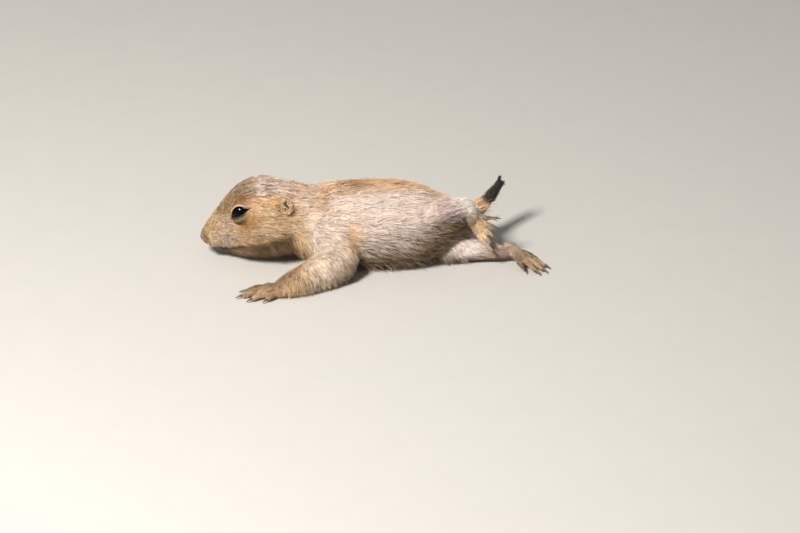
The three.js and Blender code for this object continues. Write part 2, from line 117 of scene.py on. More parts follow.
def add_modifier(piece, kind, **settings):
    """Gives a piece a modifier and applies it."""
    only(piece)
    modifier = piece.modifiers.new(kind.title(), kind)
    for name, value in settings.items():
        setattr(modifier, name, value)
    bpy.ops.object.modifier_apply(modifier=modifier.name)


def edit_whole(piece, work, **settings):
    """Does one piece of work in edit mode on the whole of a piece."""
    only(piece)
    bpy.ops.object.mode_set(mode="EDIT")
    bpy.ops.mesh.select_all(action="SELECT")
    work(**settings)
    bpy.ops.object.mode_set(mode="OBJECT")


def new_piece(name, mesh):
    piece = bpy.data.objects.new(name, mesh)
    bpy.context.scene.collection.objects.link(piece)
    return piece


def join(pieces):
    """Joins pieces into the first of them."""
    deselect_all()
    for piece in pieces:
        piece.select_set(True)
    bpy.context.view_layer.objects.active = pieces[0]
    if len(pieces) > 1:
        bpy.ops.object.join()
    return pieces[0]


def bring_home(piece):
    """Puts a piece's place into its mesh, so that its object sits at the origin."""
    only(piece)
    bpy.ops.object.transform_apply(location=True, rotation=True, scale=True)


def smooth_faces(piece):
    only(piece)
    bpy.ops.object.shade_smooth_by_angle(angle=pi)


def read(items, name, width=3, kind=float):
    """One property of all the points, faces or corners of a mesh, as rows of numbers."""
    values = np.empty(len(items) * width, kind)
    items.foreach_get(name, values)
    return values.reshape(-1, width)


def coordinates(mesh):
    return read(mesh.vertices, "co")


def set_coordinates(mesh, points):
    mesh.vertices.foreach_set("co", points.ravel())
    mesh.update()


def vertex_normals(mesh):
    return read(mesh.vertex_normals, "vector")


def paint_points(mesh, colours):
    """Stores a colour for each vertex, which the fur's and the skin's materials read."""
    layer = mesh.attributes.new(COLOUR_LAYER, "FLOAT_COLOR", "POINT")
    layer.data.foreach_set("color", np.c_[colours, np.ones(len(colours))].ravel())


def copy_of_nodes(name, node_names, swell=0.0):
    """One new piece from copies of the solids, each merged and swollen a little so that they meet."""
    copies = []
    for node_name in node_names:
        copy = new_piece(f"{name}_{node_name}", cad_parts[node_name].data.copy())
        copy.data.materials.clear()
        edit_whole(copy, bpy.ops.mesh.remove_doubles, threshold=0.01 * MM)
        if swell:
            group = copy.vertex_groups.new(name="swell")
            for index, share in enumerate(1 - on_toes(body_places(coordinates(copy.data)))):
                group.add([index], float(share), "REPLACE")
            add_modifier(copy, "DISPLACE", strength=swell, mid_level=0, vertex_group="swell")
        copies.append(copy)
    whole = join(copies)
    whole.name = name
    return whole


def finish_piece(piece, material, replaced=()):
    piece.data.materials.clear()
    piece.data.materials.append(material)
    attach(piece, "root")
    if replaced:
        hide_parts(*replaced)


# Camera


def set_camera():
    """A long lens at the photograph's angle, 28 degrees above the floor and square to the body."""
    elevation, distance = radians(28), 2.4
    aim = body_point(12.7, -12.3, 0)
    bpy.ops.object.camera_add()
    camera = bpy.context.object
    camera.data.lens = 200
    camera.data.sensor_width = 36
    camera.location = aim + Vector((0, -cos(elevation), sin(elevation))) * distance
    camera.rotation_euler = (pi / 2 - elevation, 0, 0)
    camera.data.clip_start = 0.05
    bpy.context.scene.camera = camera


# Materials


class Wire:
    """A value on its way to a shader. Sums on wires add the nodes that work them out."""

    def __init__(self, finish, socket):
        self.finish = finish
        self.socket = socket

    def sum(self, operation, first, second):
        return self.finish.node("ShaderNodeMath", {"operation": operation}, {0: first, 1: second})

    def __add__(self, other):
        return self.sum("ADD", self, other)

    def __mul__(self, other):
        return self.sum("MULTIPLY", self, other)

    __radd__ = __add__
    __rmul__ = __mul__


class Finish:
    """A material under construction, around one Principled shader."""

    def __init__(self, name, **constants):
        self.material = bpy.data.materials.new(name)
        self.material.use_nodes = True
        self.tree = self.material.node_tree
        self.shader = self.tree.nodes["Principled BSDF"]
        for socket_name, value in constants.items():
            self.shader.inputs[socket_name.replace("_", " ")].default_value = value

    def node(self, kind, settings=None, values=None, output=0):
        made = self.tree.nodes.new(kind)
        for name, value in (settings or {}).items():
            setattr(made, name, value)
        for socket, value in (values or {}).items():
            if isinstance(value, Wire):
                self.tree.links.new(value.socket, made.inputs[socket])
            else:
                made.inputs[socket].default_value = value
        return Wire(self, made.outputs[output])

    def object_place(self):
        return self.node("ShaderNodeTexCoord", output="Object")

    def speckle(self, scale, detail=2.0, stretch=(1, 1, 1)):
        """Noise from 0 to 1 in the piece's own place."""
        place = self.node("ShaderNodeMapping", {}, {"Vector": self.object_place(), "Scale": stretch})
        return self.node("ShaderNodeTexNoise", {}, {"Vector": place, "Scale": scale, "Detail": detail})

    def mottle(self, share, first, second):
        """A base colour mixed from two, by a share from 0 to 1."""
        settings = {"data_type": "RGBA", "clamp_factor": True}
        values = {"Factor": share, 6: (*first, 1), 7: (*second, 1)}
        self.feed("Base Color", self.node("ShaderNodeMix", settings, values, output=2))

    def take_markings(self, brightness):
        """The base colour from the markings, times a value that varies."""
        colour = self.node("ShaderNodeAttribute", {"attribute_name": COLOUR_LAYER}, output="Color")
        level = self.node("ShaderNodeCombineXYZ", {}, {0: brightness, 1: brightness, 2: brightness})
        settings = {"operation": "MULTIPLY"}
        self.feed("Base Color", self.node("ShaderNodeVectorMath", settings, {0: colour, 1: level}))

    def bump(self, height, distance, strength=1.0):
        values = {"Height": height, "Distance": distance, "Strength": strength}
        self.feed("Normal", self.node("ShaderNodeBump", {}, values))

    def feed(self, socket_name, wire):
        self.tree.links.new(wire.socket, self.shader.inputs[socket_name])


def fur_finish():
    """Single tufts: dull, with a faint sheen, and with their colour from the markings."""
    sheen = {"Sheen_Weight": 0.15, "Sheen_Roughness": 0.5}
    finish = Finish("fur", Roughness=0.62, Specular_IOR_Level=0.3, **sheen)
    finish.take_markings(finish.speckle(900) * 0.35 + 0.83)
    return finish.material


def skin_finish():
    """The skin under the coat, seen as dense underfur, with fine hairs drawn as bump."""
    finish = Finish("skin", Roughness=0.75, Specular_IOR_Level=0.25)
    hairs = finish.speckle(700, 3, (0.35, 1, 1))
    finish.take_markings(hairs * 0.7 + 0.5)
    finish.bump(hairs, 0.25 * MM, 0.8)
    return finish.material


def eye_finish():
    """A wet, almost black eye, a little uneven in tone."""
    finish = Finish("eye_wet_black", Roughness=0.05, Specular_IOR_Level=0.1)
    finish.mottle(finish.speckle(300), (0.0015, 0.001, 0.0012), (0.004, 0.003, 0.004))
    return finish.material


def nose_finish():
    """Dull leather, a little uneven in tone, with fine pebbles."""
    finish = Finish("nose_leather", Roughness=0.42, Specular_IOR_Level=0.45)
    pebbles = finish.node("ShaderNodeTexVoronoi", {}, {"Vector": finish.object_place(), "Scale": 2600})
    finish.mottle(finish.speckle(500), (0.16, 0.1, 0.06), (0.3, 0.2, 0.12))
    finish.bump(pebbles, 0.08 * MM, 0.7)
    return finish.material


def ear_finish():
    """Thin skin with fine down."""
    finish = Finish("ear_skin", Roughness=0.7, Specular_IOR_Level=0.25)
    down = finish.speckle(1500)
    finish.take_markings(down * 0.5 + 0.7)
    finish.bump(down, 0.1 * MM, 0.6)
    return finish.material


def lid_finish():
    """Soft dull skin with hardly any down."""
    finish = Finish("lid_skin", Roughness=0.58, Specular_IOR_Level=0.22)
    tone = finish.speckle(1800)
    finish.take_markings(tone * 0.4 + 0.75)
    finish.bump(tone, 0.08 * MM, 0.6)
    return finish.material


def claw_finish():
    """Dark horn with fine, paler lines along it."""
    finish = Finish("claw_horn", Roughness=0.4, Specular_IOR_Level=0.4)
    lines = finish.speckle(900, 2, (1, 1, 0.2))
    finish.mottle(lines, (0.05, 0.036, 0.028), (0.2, 0.145, 0.1))
    finish.bump(lines, 0.05 * MM, 0.5)
    return finish.material


def whisker_finish():
    finish = Finish("whisker", Roughness=0.4)
    finish.mottle(finish.speckle(200, 1), (0.04, 0.03, 0.025), (0.16, 0.12, 0.09))
    return finish.material


# The lie of the coat

LENGTH, WIDTH, LIFT, DEPTH = range(4)  # the columns of the values that describe the hairs
FUR_AT_THE_EYE = 0.75 * MM  # how short the fur is round the eyes
LEAST_HOLD = 1e-12  # so that some stretch rules every point


class Tract:
    """A stretch of the body. Its fur lies from its start to its end, or as it is given."""

    def __init__(self, start, end, girth, length, width, lift, depth, lie=None):
        self.start = np.array(body_point(*start))
        self.end = np.array(body_point(*end))
        self.lie = self.end - self.start if lie is None else np.array(lie)
        self.girth = girth * MM
        self.values = np.array([length * MM, width * MM, radians(lift), depth * MM])

    def direction(self):
        return self.lie / np.linalg.norm(self.lie)

    def hold(self, points):
        """How strongly this stretch rules each point: most on the part that it runs through."""
        way = self.end - self.start
        share = np.clip((points - self.start) @ way / (way @ way), 0, 1)
        apart = np.linalg.norm(points - (self.start + share[:, None] * way), axis=1)
        return np.exp(-6 * (apart / self.girth) ** 2)


# start, end, girth, the hairs' length, width and lift, the depth of the coat, and at times the lie
TRACTS = [
    Tract((-96, 4, 10), (-76, 2.5, 17), 8, 1.2, 0.14, 10, 0.22),
    Tract((-76, 2.5, 20), (-58, 1, 25), 17, 2.1, 0.15, 9, 0.4),
    Tract((-58, 1, 25), (-44, 0, 25), 19, 3.2, 0.17, 9, 0.65),
    Tract((-44, 0, 25), (-30, 0, 22), 19, 4.2, 0.19, 9, 0.85),
    Tract((-30, 0, 21.5), (10, 0, 20.5), 24, 4.8, 0.2, 8, 0.95),
    Tract((10, 0, 20.5), (40, 5, 18), 22, 4.7, 0.2, 8, 0.95),
    Tract((40, 5, 18), (50, 9, 19), 14, 4.4, 0.22, 13, 1.1),
    Tract((-27, -10, 28), (-18, -28, 8), 10, 3.7, 0.18, 9, 0.75, (0.85, -0.2, -0.45)),
    Tract((-18, -28, 8.8), (-38, -40, 7), 8, 3.3, 0.18, 8, 0.6, (0.6, -0.4, -0.7)),
    Tract((-38, -40, 7), (-51, -46, 5), 6, 2.3, 0.17, 8, 0.4, (0.05, -0.5, -0.8)),
    Tract((-51, -46, 4), (-72, -51, 1.5), 5.5, 1.1, 0.13, 9, 0.2),
    Tract((-27, 12, 22), (-22, 27, 8), 10, 3.7, 0.18, 9, 0.75, (0.85, 0.2, -0.45)),
    Tract((-22, 27, 8), (-40, 30.5, 6), 8, 3.3, 0.18, 8, 0.6, (0.6, 0.4, -0.7)),
    Tract((-40, 30.5, 6), (-53, 32, 5), 6, 2.3, 0.17, 8, 0.4, (0.05, 0.5, -0.8)),
    Tract((-53, 32, 4), (-74, 36, 1.5), 5.5, 1.1, 0.13, 9, 0.2),
    Tract((42, 2, 23), (27, -13, 30), 11, 3.3, 0.17, 9, 0.65, (22, 11.5, 1)),
    Tract((27, -12.5, 29), (49, -1, 30), 7.5, 2.5, 0.16, 9, 0.5),
    Tract((50, 0, 28), (62, -14, 14), 6, 1.2, 0.13, 9, 0.22),
    Tract((38, 0, 9), (42, -6, 7.5), 10, 3.4, 0.17, 9, 0.65),
    Tract((40, -5.5, 7), (62, -5.5, 6), 6.5, 2.5, 0.16, 9, 0.5),
    Tract((62, -5.5, 6), (74, -5.5, 6.6), 5, 1.5, 0.14, 9, 0.35),
    Tract((74, -5.5, 6), (92, -20, 3), 6, 1.1, 0.13, 9, 0.2),
    Tract((48, 8, 18.6), (59, 19, 23), 6, 4.6, 0.22, 12, 1.2),
    Tract((59, 19, 23), (65, 26.4, 28), 4.5, 3.8, 0.2, 9, 0.9),
    Tract((65, 26.4, 28), (68, 29.6, 31), 3, 2.2, 0.18, 7, 0.5),
]


def tract_holds(points):
    holds = np.stack([tract.hold(points) for tract in TRACTS], axis=1) + LEAST_HOLD
    return holds / holds.sum(axis=1, keepdims=True)


def lie_of_coat(points, normals):
    """For each point, which way the hairs lie on the skin, and their length, width, lift and depth."""
    holds = tract_holds(points)
    way = holds @ np.stack([tract.direction() for tract in TRACTS])
    values = holds @ np.stack([tract.values for tract in TRACTS])
    head, body = in_head(points), body_places(points)
    jaw = smooth_step(-5, -13, head[:, 2]) * smooth_step(-24, -18, head[:, 0])
    trunk = smooth_step(-34, -20, body[:, 0]) * smooth_step(52, 42, body[:, 0])
    belly = trunk * smooth_step(0, -0.7, backness(points))
    way[:, 2] -= 0.55 * jaw + 0.3 * belly
    values[:, LENGTH] *= 1 + 0.25 * jaw + 0.15 * belly
    values[:, WIDTH] *= 1 + 0.25 * belly
    values[:, LIFT] += radians(9) * jaw + radians(7) * belly
    for eye in EYES.values():
        near = smooth_step(4.5, 1.5, eye.apart(head) - 0.7 * eye.bare(head))
        way += eye.away(head) * (1.5 * near)[:, None]
        values[:, LENGTH] += (FUR_AT_THE_EYE - values[:, LENGTH]) * near
        values[:, WIDTH] *= 1 - 0.2 * near
        values[:, DEPTH] *= 1 - 0.85 * near
    # at the end of the tail the hairs go on along it and do not turn across its tip
    onward = np.sum(way * normals, axis=1) / (np.linalg.norm(way, axis=1) + TINY)
    onward = np.clip(onward, 0, 1)
    onward *= smooth_step(56, 60, body[:, 0]) * smooth_step(10, 14, body[:, 1])
    values[:, LIFT] = np.maximum(values[:, LIFT], 0.9 * np.arcsin(onward))
    return along_skin(way, normals), values


def along_skin(ways, normals):
    """Directions along the skin, from ways that may point out of it or into it."""
    flat = ways - normals * np.sum(ways * normals, axis=1, keepdims=True)
    return flat / (np.linalg.norm(flat, axis=1, keepdims=True) + TINY)


# Eyes and their lids

EYE_RADIUS = 6.4
HALF_WIDE = 5.65  # of the opening between the lids
HIGH_ABOVE = 2.8  # of the opening, from its middle
HIGH_BELOW = 2.4
OPENING_DROP = 0.85  # of the opening below the middle of the eye
DEEP = -7  # from here inwards nothing belongs to the eye
FAR = 99.0  # stands for any place that does not belong to the eye


class Eye:
    """One eye: its middle and its outward, forward and upward directions, in the head's millimetres."""

    def __init__(self, side):
        out = Vector((0.3, 0.78 * side, 0.55)).normalized()
        level = Vector((0.93, -0.3 * side, -0.19))
        forward = (level - out * level.dot(out)).normalized()
        upward = forward.cross(out) * -side
        if upward.z < 0:
            upward.negate()
        self.middle = np.array(Vector((10.4, 13.7 * side, 11.5)) - out * 5.2)
        self.out, self.forward, self.upward = (np.array(v) for v in (out, forward, upward))

    def flat(self, head):
        """Forward and upward places across the opening, from its middle line, and how far out."""
        apart = head - self.middle
        wide = apart @ self.forward
        return wide, apart @ self.upward + OPENING_DROP + corner_sink(wide), apart @ self.out

    def reach(self, head):
        """1 on the edges of the lids and more outside them."""
        wide, high, out = self.flat(head)
        wide, high = wide / HALF_WIDE, high / half_height(wide, high)
        turn = wide**2 / (wide**2 + high**2 + TINY)
        return np.where(out > DEEP, np.hypot(wide, high / (1 - corner_taper(wide) * turn**2)), FAR)

    def apart(self, head):
        """Millimetres along the skin from the edge of the opening."""
        wide, high, _ = self.flat(head)
        reach = self.reach(head)
        return np.where(reach < FAR, np.hypot(wide, high) * (1 - 1 / reach), FAR)

    def below(self, head):
        """1 under the opening and 0 beside and above it."""
        wide, high, _ = self.flat(head)
        wide, high = wide / HALF_WIDE, high / HIGH_ABOVE
        return smooth_step(0, 0.75, -high / (np.hypot(wide, high) + TINY))

    def bare(self, head):
        """How broad the lids are there."""
        wide, high, _ = self.flat(head)
        across = wide / HALF_WIDE / (np.hypot(wide / HALF_WIDE, high / HIGH_ABOVE) + TINY)
        return lid_breadth(self.below(head), across)

    def crease(self, head):
        """1 in the fold outside the lower lid and in the short one behind the rear corner, where dark
        painted shade is laid.
        """
        wide, high, _ = self.flat(head)
        beyond = self.apart(head) - self.bare(head)
        under = smooth_step(-0.4, -0.1, beyond) * smooth_step(0.65, 0.3, beyond)
        under *= smooth_step(0.05, 0.4, self.below(head)) * smooth_step(-5.5, -2, wide)
        tail = smooth_step(-5.3, -5.9, wide) * smooth_step(-8.6, -7.4, wide)
        tail *= smooth_step(0.6, 0.25, np.abs(high - 0.2)) * (self.reach(head) < FAR)
        return np.maximum(under, 0.8 * tail)

    def away(self, head):
        """The way along the skin from the opening, as directions in the frame."""
        wide, high, _ = self.flat(head)
        radial = wide[:, None] * self.forward + 1.6 * high[:, None] * self.upward
        radial /= np.linalg.norm(radial, axis=1, keepdims=True) + TINY
        return radial @ np.array(HEAD_PLACE)[:3, :3].T


EYES = {"left": Eye(1), "right": Eye(-1)}


def lid_breadth(below, across):
    return 1.0 + 2.8 * below * (1 - 0.6 * smooth_step(0, 0.9, across))


def corner_sink(wide):
    """How far the middle line of the opening sinks towards its front corner."""
    return 1.6 * np.clip(wide / HALF_WIDE, 0, 1.2) ** 1.6


def half_height(wide, high):
    """The opening's half height above its middle line and below it."""
    above = HIGH_ABOVE - 0.32 * np.maximum(wide + 1, 0)
    return np.where(high > 0, above, np.maximum(HIGH_BELOW - 1.9 * corner_sink(wide), 0.5))


def corner_taper(wide):
    """How much the opening narrows towards its front corner and towards its rear one."""
    return np.where(wide > 0, 0.7, 0.55)


def opening_edge(across, up):
    """The edge of the opening at a place on a ring of radius 1 that is bent into it."""
    high = up * half_height(across * HALF_WIDE, up)
    return across * HALF_WIDE, high * (1 - corner_taper(across) * across**4)


def ball_stand(wide, high):
    """How far out the eyeball stands at a place across the opening."""
    squared = EYE_RADIUS**2 - wide**2 - (high - OPENING_DROP - corner_sink(wide)) ** 2
    return np.sqrt(np.maximum(squared, 5))


LEAST_COVER = 0.3  # of skin over the ball outside the opening
BEHIND_THE_BALL = 0.7  # how far the skin is sunk behind the ball's front in the opening


def seat_eyes(points):
    """The skin drawn up to the rim of each eyeball, and hollowed out behind the opening."""
    head = in_head(points)
    for eye in EYES.values():
        wide, high, out = eye.flat(head)
        reach = eye.reach(head)
        near = reach < FAR
        edge = np.where(near, reach, 1) + TINY
        rim = ball_stand(wide / edge, high / edge) + 0.1
        outside = out + (rim - out) * smooth_step(3.4, 0, eye.apart(head))
        true_height = high - OPENING_DROP - corner_sink(wide)
        over_ball = EYE_RADIUS**2 - wide**2 - true_height**2
        covering = np.sqrt(over_ball.clip(0)) + LEAST_COVER
        outside = np.where(over_ball > 0, np.maximum(outside, covering), outside)
        hollow = np.minimum(out, ball_stand(wide, high) - BEHIND_THE_BALL)
        share = smooth_step(1, 0.92, reach)
        seated = outside * (1 - share) + hollow * share
        head += np.where(near, seated - out, 0)[:, None] * eye.out
    return from_head(head)


def make_eyeball(side_name, material):
    eye = EYES[side_name]
    deselect_all()
    bpy.ops.mesh.primitive_uv_sphere_add(segments=64, ring_count=40, radius=EYE_RADIUS * MM)
    ball = bpy.context.object
    ball.name = side_name + "_eyeball"
    points = coordinates(ball.data)
    front = smooth_step(0.8, 1, points[:, 2] / (EYE_RADIUS * MM))
    points[:, 2] += front * 0.12 * MM  # the clear front stands out a little from the ball
    set_coordinates(ball.data, points)
    turn = Vector((0, 0, 1)).rotation_difference(Vector(eye.out)).to_matrix().to_4x4()
    ball.matrix_world = HEAD_PLACE @ Matrix.Translation(Vector(eye.middle) * MM) @ turn
    bring_home(ball)
    smooth_faces(ball)
    finish_piece(ball, material, [side_name + "_eye"])


def make_lids(skin, material):
    """Both lids of each eye, as one soft band bent round the opening and bedded in the skin."""
    surface = BVHTree.FromObject(skin, bpy.context.evaluated_depsgraph_get())
    lids = join([lid_band(eye, surface) for eye in EYES.values()])
    lids.name = "lids"
    smooth_faces(lids)
    unwrap(lids)
    finish_piece(lids, material)
    sink_under_lids(skin)


def lid_band(eye, surface):
    """A ring with a round section, bent into the lids of one eye."""
    deselect_all()
    bpy.ops.mesh.primitive_torus_add(
        major_segments=128, minor_segments=36, major_radius=1, minor_radius=0.1
    )
    band = bpy.context.object
    x, y, z = coordinates(band.data).T
    ring, turn = np.arctan2(y, x), np.arctan2(z, 1 - np.hypot(x, y))
    across, up = np.cos(ring), np.sin(ring)
    low = smooth_step(0, 0.75, -up)
    # the section of the band, round at the rim and thinning out into the skin
    inward = (1 - np.cos(turn)) / 2
    spread = lid_breadth(low, across) * inward
    leans = np.hypot(across / HALF_WIDE, up / HIGH_ABOVE)
    edge_wide, edge_high = opening_edge(across, up)
    wide = edge_wide + spread * across / HALF_WIDE / leans
    high = edge_high + spread * up / HIGH_ABOVE / leans
    stands = np.array([skin_stand(surface, eye, w, h) for w, h in zip(wide, high)])
    edge = (ball_stand(edge_wide, edge_high) + 0.16) * (spread < 0.5)
    lift = np.maximum(np.maximum(ball_stand(wide, high) * (spread < 1), edge), stands)
    plump = 0.14 * np.exp(-((spread / 0.45) ** 2)) + 0.12
    plump += low * 0.14 * np.exp(-(((spread - 2.2) / 0.6) ** 2))
    plump -= low * 0.12 * np.exp(-(((spread - 1.2) / 0.3) ** 2))
    top = np.sin(turn).clip(0, 0.25) / 0.25
    sunk = 0.8 * np.sin(turn).clip(-1, 0) - 0.25 * smooth_step(0.85, 1, inward)
    level = high - OPENING_DROP - corner_sink(wide)
    placed = wide[:, None] * eye.forward + level[:, None] * eye.upward
    placed = placed + (lift + plump * top + sunk)[:, None] * eye.out + eye.middle
    set_coordinates(band.data, placed * MM)
    band.matrix_world = HEAD_PLACE
    bring_home(band)
    edit_whole(band, bpy.ops.mesh.normals_make_consistent, inside=False)
    paint_points(band.data, lid_colours(spread, low, across, coordinates(band.data)))
    return band


def sink_under_lids(skin):
    """Draws the skin in under the lids, so that their folds are not filled by it."""
    points = coordinates(skin.data)
    head = in_head(points)
    for eye in EYES.values():
        bare = eye.bare(head)
        under = eye.below(head) * smooth_step(bare - 0.1, bare - 0.4, eye.apart(head))
        head -= (0.8 * under)[:, None] * eye.out
    set_coordinates(skin.data, from_head(head))


ABOVE_SKIN = 14  # how far out a line starts that looks for the skin


def skin_stand(surface, eye, wide, high):
    """How far the skin stands out at a place across the opening, in millimetres."""
    level = high - OPENING_DROP - corner_sink(wide)
    start = eye.middle + wide * eye.forward + level * eye.upward + ABOVE_SKIN * eye.out
    way = HEAD_PLACE.to_3x3() @ -Vector(eye.out)
    distance = surface.ray_cast(head_point(*start), way, 30 * MM)[3]
    return ABOVE_SKIN - distance / MM if distance else 0.0


def lid_colours(spread, low, across, points):
    """Dark along the rim, pale above the eye, and below it a grey band, a pale one and a crease darkened
    with painted shade.
    """
    fur, _ = markings(points)

    def mixed(first, second, share):
        return first * (1 - share[:, None]) + np.array(second) * share[:, None]

    colour = mixed(np.tile(LID_PALE, (len(points), 1)), LID_BELOW, low)
    colour = mixed(colour, LID_BEHIND, low * smooth_step(0.1, -0.8, across))
    grey = low * smooth_step(2.1, 1.1, spread) * smooth_step(-1, -0.6, across)
    colour = mixed(colour, LID_GREY, grey)
    # painted shade in the crease outside the lower lid
    crease = 0.85 * smooth_step(0.82, 0.95, spread / lid_breadth(low, across)) * low
    colour = mixed(colour, LID_CREASE_SHADE, crease * smooth_step(-0.9, -0.5, across))
    colour = colour + (fur - colour) * (smooth_step(0.6, 0.8, spread) * (1 - low))[:, None]
    corner = smooth_step(0.965, 0.99, np.abs(across))
    return mixed(colour, LID_RIM, np.maximum(smooth_step(0.42, 0.22, spread), corner))


# Markings

CREAM = (0.74, 0.61, 0.53)
BUFF = (0.7, 0.46, 0.29)
TAN = (0.62, 0.44, 0.27)
BROWN = (0.46, 0.27, 0.15)
ORANGE = (0.7, 0.42, 0.2)
RUST = (0.33, 0.14, 0.025)
OLIVE = (0.2, 0.125, 0.05)
GREY = (0.52, 0.42, 0.35)
PINK = (0.6, 0.45, 0.43)
CROWN = (0.68, 0.52, 0.43)
FOREHEAD = (0.4, 0.27, 0.17)
CHEEK = (0.59, 0.39, 0.22)
MUZZLE = (0.52, 0.4, 0.27)
LIP = (0.62, 0.52, 0.44)
FOOT = (0.68, 0.46, 0.26)
BLACK = (0.03, 0.022, 0.019)
NOSE_TOP = (0.42, 0.27, 0.13)
NOSE_FRONT = (0.34, 0.23, 0.12)
# painted shade for the underside of the jaw
JAW_SHADE = (0.15, 0.09, 0.03)
# the left heel's pale fur, painted brighter still as a highlight where the light falls on its top
HEEL_WHITE_AND_HIGHLIGHT = (0.92, 0.82, 0.74)
# painted shade in the gap between the lips
MOUTH_LINE = (0.05, 0.03, 0.022)
# painted shade in the nostrils' slits
NOSTRIL = (0.03, 0.018, 0.014)
LID_LINE = (0.66, 0.5, 0.38)
LID_PALE = (0.46, 0.33, 0.23)
LID_BELOW = (0.17, 0.105, 0.055)
LID_BEHIND = (0.28, 0.16, 0.075)
LID_GREY = (0.06, 0.046, 0.022)
# painted shade in the fold outside the lower lid
LID_CREASE_SHADE = (0.05, 0.024, 0.01)
LID_RIM = (0.02, 0.013, 0.01)

# patches of colour: the middle, the half sizes, the strength, the colour and the share of dark hairs
TRUNK_PATCHES = {
    # painted shade: the hollow before the thigh is laid darker olive
    "painted shade in the hollow before the thigh": ((28, -19, 16), (10, 7, 7), 0.6, OLIVE, 0.3),
    "nape": ((-37, 0, 42), (12, 16, 8), 0.9, (0.66, 0.5, 0.38), 0.12),
    "between the shoulders": ((-30, -2, 41), (5, 7, 5), 0.5, ORANGE, 0.2),
    "top of the shoulder": ((-31, -11, 37), (5, 8, 8), 0.9, (0.58, 0.37, 0.21), 0.16),
    "shoulder": ((-25, -21, 30), (9, 10, 8), 0.9, (0.71, 0.58, 0.48), 0.04),
    "upper arm": ((-27, -29, 21), (9, 8, 8), 0.8, (0.71, 0.57, 0.46), 0.04),
    "behind the arm": ((-14, -25, 24), (4, 6, 9), 0.95, ORANGE, 0.08),
    "side of the neck": ((-42, -15, 32), (6, 8, 6), 0.6, (0.68, 0.47, 0.3), 0.1),
    "side of the throat": ((-42, -13, 17), (8, 9, 9), 0.8, (0.7, 0.47, 0.27), 0.1),
}
LIMB_PATCHES = {
    "left foreleg": ((-30, -39, 14), (17, 10, 9), 1, (0.74, 0.57, 0.44), 0.04),
    "left wrist": ((-48, -47, 9), (7, 7, 6), 0.9, (0.92, 0.64, 0.38), 0.02),
    "left forefoot": ((-64, -48, 3), (10, 9, 5), 0.9, (0.78, 0.52, 0.32), 0.05),
    "right foreleg": ((-34, 30, 9), (16, 9, 9), 0.7, (0.72, 0.55, 0.42), 0.05),
    "right forefoot": ((-60, 34, 4), (16, 9, 6), 0.9, (0.66, 0.46, 0.29), 0.07),
    "hip": ((32, -1, 38), (7, 8, 5), 0.6, TAN, 0.2),
    "left thigh": ((36, -13, 34), (8, 7, 7), 0.8, PINK, 0.14),
    # painted shadow: the body below the left thigh is laid darker olive, where the leg shades it
    "painted shadow below the left thigh": ((40, -14, 25), (9, 7, 4.5), 0.9, OLIVE, 0.3),
    # pale fur with a painted highlight on the top of the left heel
    "left heel": ((47.5, -5.5, 34.5), (6.5, 6.5, 6), 1, HEEL_WHITE_AND_HIGHLIGHT, 0.0),
    "left hind foot": ((57, -9, 20), (5.5, 7, 7), 1, FOOT, 0.06),
    "right shank": ((49, -9, 10), (12, 8, 6), 1, (0.9, 0.76, 0.7), 0.03),
    "right heel": ((70, -6, 7), (9, 6, 6), 1, (0.54, 0.38, 0.32), 0.08),
    # the right hind foot: its own brown, painted darker as shade where the toes lie in shadow
    "right hind foot": ((86, -16, 4), (9, 9, 6), 1, (0.44, 0.29, 0.17), 0.14),
    "root of the tail": ((53, 12.5, 23), (5.5, 6, 6), 1, ORANGE, 0.16),
}
HEAD_PATCHES = {
    "side of the nape": ((-17, 9, 13), (6, 8, 6), 0.8, (0.7, 0.54, 0.42), 0.14),
    "brow": ((9, 11.5, 16), (6, 4.5, 3.2), 1, (0.3, 0.13, 0.025), 0.22),
    "end of the brow": ((1, 14.7, 14), (4, 4, 2.4), 0.8, (0.6, 0.36, 0.2), 0.22),
    "above the ear": ((-7, 15, 11.5), (7, 5, 3.6), 0.95, (0.74, 0.44, 0.2), 0.22),
    "behind the eye": ((-1.5, 17, 10.5), (3.5, 4, 2), 0.8, (0.78, 0.56, 0.38), 0.2),
    "rear of the lower lid": ((4, 17.6, 6.2), (4.5, 4, 3.3), 0.95, (0.5, 0.24, 0.06), 0.14),
    "below the eye": ((9.5, 16.6, 3.4), (5.5, 5, 3.6), 1, RUST, 0.12),
    "before the ear": ((-10.5, 16, 7), (2.6, 4, 3.4), 0.8, (0.46, 0.28, 0.15), 0.16),
    "front of the cheek": ((13.5, 15, 0), (3, 5, 3), 0.6, (0.62, 0.38, 0.18), 0.12),
    "side of the muzzle": ((19.5, 11.5, 4), (6.5, 6, 5), 0.9, MUZZLE, 0.14),
    "bridge of the nose": ((31, 4.5, 5.5), (5, 4, 5), 0.85, (0.58, 0.4, 0.21), 0.2),
    "pad of the whiskers": ((24.5, 10, -2.5), (7, 6, 3), 0.8, (0.52, 0.42, 0.32), 0.24),
    "pale spot on the cheek": ((1, 19, -1.6), (2.6, 5, 1.7), 0.8, (0.58, 0.5, 0.4), 0.1),
    "lower cheek": ((7, 16.5, -5), (7, 6, 3), 0.8, (0.52, 0.33, 0.16), 0.16),
}
LIP_PATCHES = {
    "upper lip": ((26, 9, -6.6), (5, 5, 1.7), 0.95, LIP, 0.2),
    "lower lip": ((20, 9, -11.6), (6, 6, 1.6), 0.8, (0.46, 0.33, 0.18), 0.1),
}


def spot(points, centre, radii):
    """1 at the centre of a soft oval spot, and 0 well outside it."""
    return np.exp(-np.sum(((points - np.array(centre)) / np.array(radii)) ** 2, axis=1))


def both_sides(head, centre, radii):
    x, y, z = centre
    return np.maximum(spot(head, (x, y, z), radii), spot(head, (x, -y, z), radii))


